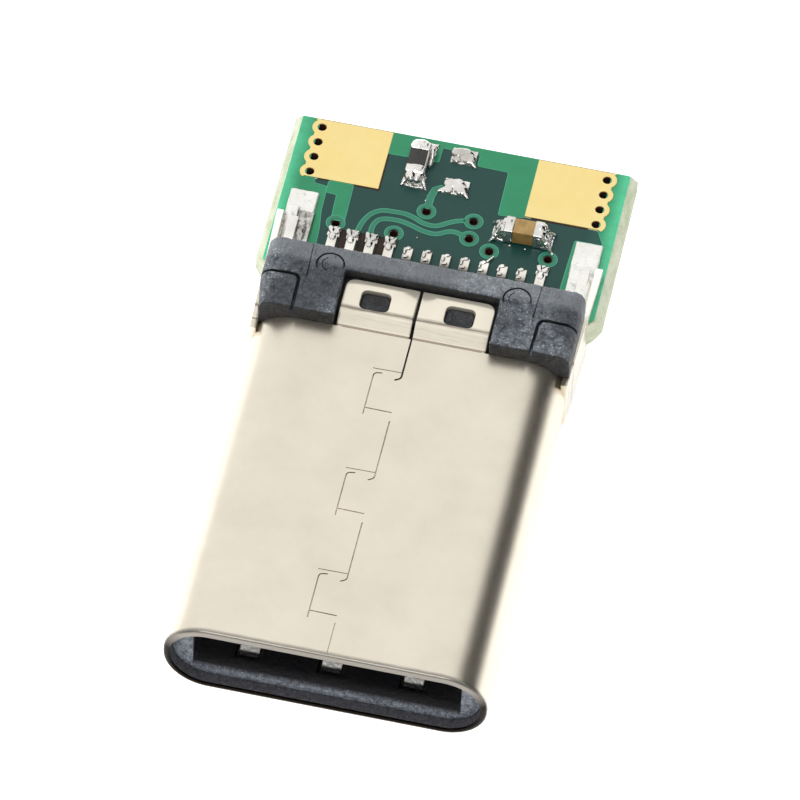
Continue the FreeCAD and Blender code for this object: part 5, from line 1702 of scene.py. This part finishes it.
    def capacitor_ends(self) -> Piece:
        """The two large solder fillets of the chip that lies across the board."""
        x, y = CAPACITOR_SPOT
        left = Melt(0.015, 2, 0.026, 7.0)
        left.block((x - 0.84, y - 0.24, 0.39), (x - 0.42, y + 0.34, 0.47), 0.88)
        left.ball((x - 0.42, y + 0.10, 0.74), (0.21, 0.22, 0.22), 10)
        left.ball((x - 0.46, y - 0.12, 0.68), (0.20, 0.17, 0.22), -12)
        left.ball((x - 0.60, y + 0.10, 0.58), (0.16, 0.20, 0.16))
        left.spine((x - 0.54, y - 0.02, 0.72), (x - 0.84, y - 0.30, 0.43), 0.12, 0.045)
        left.spine((x - 0.58, y + 0.16, 0.66), (x - 0.82, y + 0.30, 0.46), 0.11, 0.06)
        right = Melt(0.015, 2, 0.026, -7.0)
        right.block((x + 0.40, y - 0.26, 0.39), (x + 0.80, y + 0.34, 0.47), 0.88)
        right.ball((x + 0.41, y + 0.10, 0.75), (0.21, 0.22, 0.22), -10)
        right.ball((x + 0.46, y - 0.12, 0.72), (0.19, 0.18, 0.22), 14)
        right.ball((x + 0.60, y + 0.10, 0.58), (0.15, 0.20, 0.15))
        right.spine((x + 0.50, y - 0.08, 0.76), (x + 0.82, y - 0.34, 0.43), 0.13, 0.045)
        right.spine((x + 0.54, y + 0.12, 0.72), (x + 0.80, y + 0.26, 0.45), 0.10, 0.04)
        meshes = [left.mesh(self.base), right.mesh(self.base)]
        return self.piece("capacitor_fillets", meshes, "capacitor_solder")

    def bare_pads(self) -> Piece:
        """The pillow of solder on each of the two pads that carry no chip, with its crease."""
        meshes = []
        for index, y in enumerate((15.74, 16.77)):
            melt = Melt(0.015, 3, 0.016, 3.0 + index)
            melt.block((-0.33, y - 0.25, 0.39), (0.38, y + 0.27, 0.47), 0.93)
            melt.ball((-0.05, y + 0.09, 0.48), (0.30, 0.17, 0.11), 8)
            melt.ball((0.15, y - 0.06, 0.47), (0.22, 0.17, 0.11), -14)
            melt.ball((-0.14, y - 0.13, 0.46), (0.16, 0.11, 0.08), 20)
            melt.spine((0.20, y - 0.10, 0.48), (0.37, y - 0.26, 0.44), 0.09, 0.045)
            if index == 0:
                melt.spine((-0.20, y - 0.06, 0.46), (-0.42, y - 0.20, 0.43), 0.08, 0.035)
            meshes.append(melt.mesh(self.base))
        return self.piece("bare_pad_domes", meshes, "bare_pad_solder")

    def specks(self) -> Piece:
        """Stray beads of solder on the lacquer and the short bridge at one signal hole."""
        meshes = []
        for index, (x, y, size) in enumerate(self.beads):
            melt = Melt(0.008, 2, 0.002, index * 2.0)
            melt.ball((x, y, 0.44), (size, size * 1.2, size))
            meshes.append(melt.mesh(self.base + 0.02))
        bridge = Melt(0.014, 3, 0.008, 1.0).spine((1.27, 13.44, 0.47), (1.43, 13.74, 0.44), 0.06, 0.035)
        meshes.append(bridge.mesh(self.base))
        return self.piece("stray_beads", meshes)

    def build(self) -> None:
        """Builds every joint."""
        for level in (UPPER, LOWER):
            self.tails(level)
        for side in SIDES:
            self.legs(side)
        self.resistor_ends()
        self.capacitor_ends()
        self.bare_pads()
        self.grains()
        self.specks()


# Studio


@dataclass
class Studio:
    """The floor, the lights and the camera."""

    floor_level: float = -1.65
    floor_half: float = 3000.0
    floor_thickness: float = 2.0
    azimuth: float = 9.982
    elevation: float = 53.331
    roll: float = 2.710
    eye: tuple[float, float, float] = (20.946, -110.052, 162.372)
    lens: float = 356.8
    dim: float = 0.28
    bright: float = 1.12
    flag: float = 0.0
    fill: float = 0.42
    front_fill: float = 0.22

    def camera(self) -> Piece:
        """The camera at the photograph's place and angle."""
        a, e, r = (math.radians(angle) for angle in (self.azimuth, self.elevation, self.roll))
        back = Vector((math.sin(a) * math.cos(e), -math.cos(a) * math.cos(e), math.sin(e)))
        level = Vector((math.cos(a), math.sin(a), 0))
        upright = back.cross(level)
        right = level * math.cos(r) + upright * math.sin(r)
        up = upright * math.cos(r) - level * math.sin(r)
        data = bpy.data.cameras.new("camera")
        data.sensor_width = 36.0
        data.lens = self.lens
        data.clip_start, data.clip_end = 0.01, 10.0
        camera = bpy.data.objects.new("camera", data)
        camera.matrix_world = Matrix.Translation(Vector(self.eye) * MM) @ Matrix(
            [[right[i], up[i], back[i]] for i in range(3)]
        ).to_4x4()
        bpy.context.scene.collection.objects.link(camera)
        bpy.context.scene.camera = camera
        return camera

    def floor(self) -> Piece:
        """A wide plain floor that the collar rests on."""
        half = self.floor_half
        outline = rounded(box(-half, -half, half, half), 200.0, 8)
        piece = plate("floor", [outline], self.floor_level - self.floor_thickness, self.floor_level, 0.5)
        paint(piece, Finish.FLOOR)
        return piece

    def light(self, name: str, place: Sequence[float], aim: Sequence[float], size: Spot, power: float) -> Piece:
        """One soft rectangular light.

        Args:
            name: Name of the light.
            place: Where it hangs, in millimetres.
            aim: What it points at.
            size: Width and height.
            power: Power in watts.

        Returns:
            The lamp. It isn't seen in reflections.
        """
        data = bpy.data.lights.new(name, "AREA")
        data.shape = "RECTANGLE"
        data.size, data.size_y = size[0] * MM, size[1] * MM
        data.energy = power
        lamp = bpy.data.objects.new(name, data)
        lamp.location = Vector(place) * MM
        lamp.rotation_mode = "QUATERNION"
        lamp.rotation_quaternion = (Vector(aim) - Vector(place)).to_track_quat("-Z", "Y")
        lamp.visible_glossy = False
        bpy.context.scene.collection.objects.link(lamp)
        return lamp

    def sky(self) -> None:
        """The surroundings: bright behind and above, dim in front, with a dark flag at the right."""
        world = bpy.data.worlds.new("studio")
        world.use_nodes = True
        tree = world.node_tree
        way = tree.nodes.new("ShaderNodeTexCoord").outputs["Generated"]

        def zone(aim: Sequence[float], start: float, end: float, low: float, high: float) -> Socket:
            """A soft change of strength round one direction."""
            dot = tree.nodes.new("ShaderNodeVectorMath")
            dot.operation = "DOT_PRODUCT"
            dot.inputs[1].default_value = Vector(aim).normalized()
            tree.links.new(way, dot.inputs[0])
            reach = tree.nodes.new("ShaderNodeMapRange")
            reach.interpolation_type = "SMOOTHSTEP"
            for key, value in (("From Min", start), ("From Max", end), ("To Min", low), ("To Max", high)):
                reach.inputs[key].default_value = value
            tree.links.new(dot.outputs["Value"], reach.inputs["Value"])
            return reach.outputs["Result"]

        bright = zone((-0.15, 0.78, 0.60), -0.30, 0.42, self.dim, self.bright)
        flag = zone((0.80, 0.45, 0.30), 0.74, 0.92, 1.0, self.flag)
        product = tree.nodes.new("ShaderNodeMath")
        product.operation = "MULTIPLY"
        tree.links.new(bright, product.inputs[0])
        tree.links.new(flag, product.inputs[1])
        background = tree.nodes["Background"]
        background.inputs["Color"].default_value = (1.0, 0.995, 0.985, 1.0)
        tree.links.new(product.outputs[0], background.inputs["Strength"])
        bpy.context.scene.world = world
        bpy.context.scene.view_settings.view_transform = "Standard"

    def build(self) -> None:
        """Sets up the studio."""
        self.camera()
        self.floor()
        self.sky()
        self.light("overhead", (-40, 60, 300), (0, 8, 0), (320, 320), self.fill)
        self.light("front", (-30, -210, 190), (0, 1, 0), (160, 90), self.front_fill).visible_glossy = True


def main() -> None:
    """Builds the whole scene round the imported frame."""
    logging.basicConfig(level=logging.INFO, format="%(message)s")
    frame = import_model()
    Studio().build()
    FoldedShell().build()
    MouldedCollar(frame["nodes"]["collar"]).build()
    CarriedPieces(frame["nodes"]).dress()
    WiringBoard().build()
    Chip("resistor", RESISTOR_SPOT, 0.35, False, Finish.ALUMINA, "resistor_ceramic", Finish.GLAZE).build()
    Chip("capacitor", CAPACITOR_SPOT, 0.50, True, Finish.CAPACITOR, "capacitor_ceramic").build()
    SolderJoints().build()


if __name__ == "__main__":
    main()
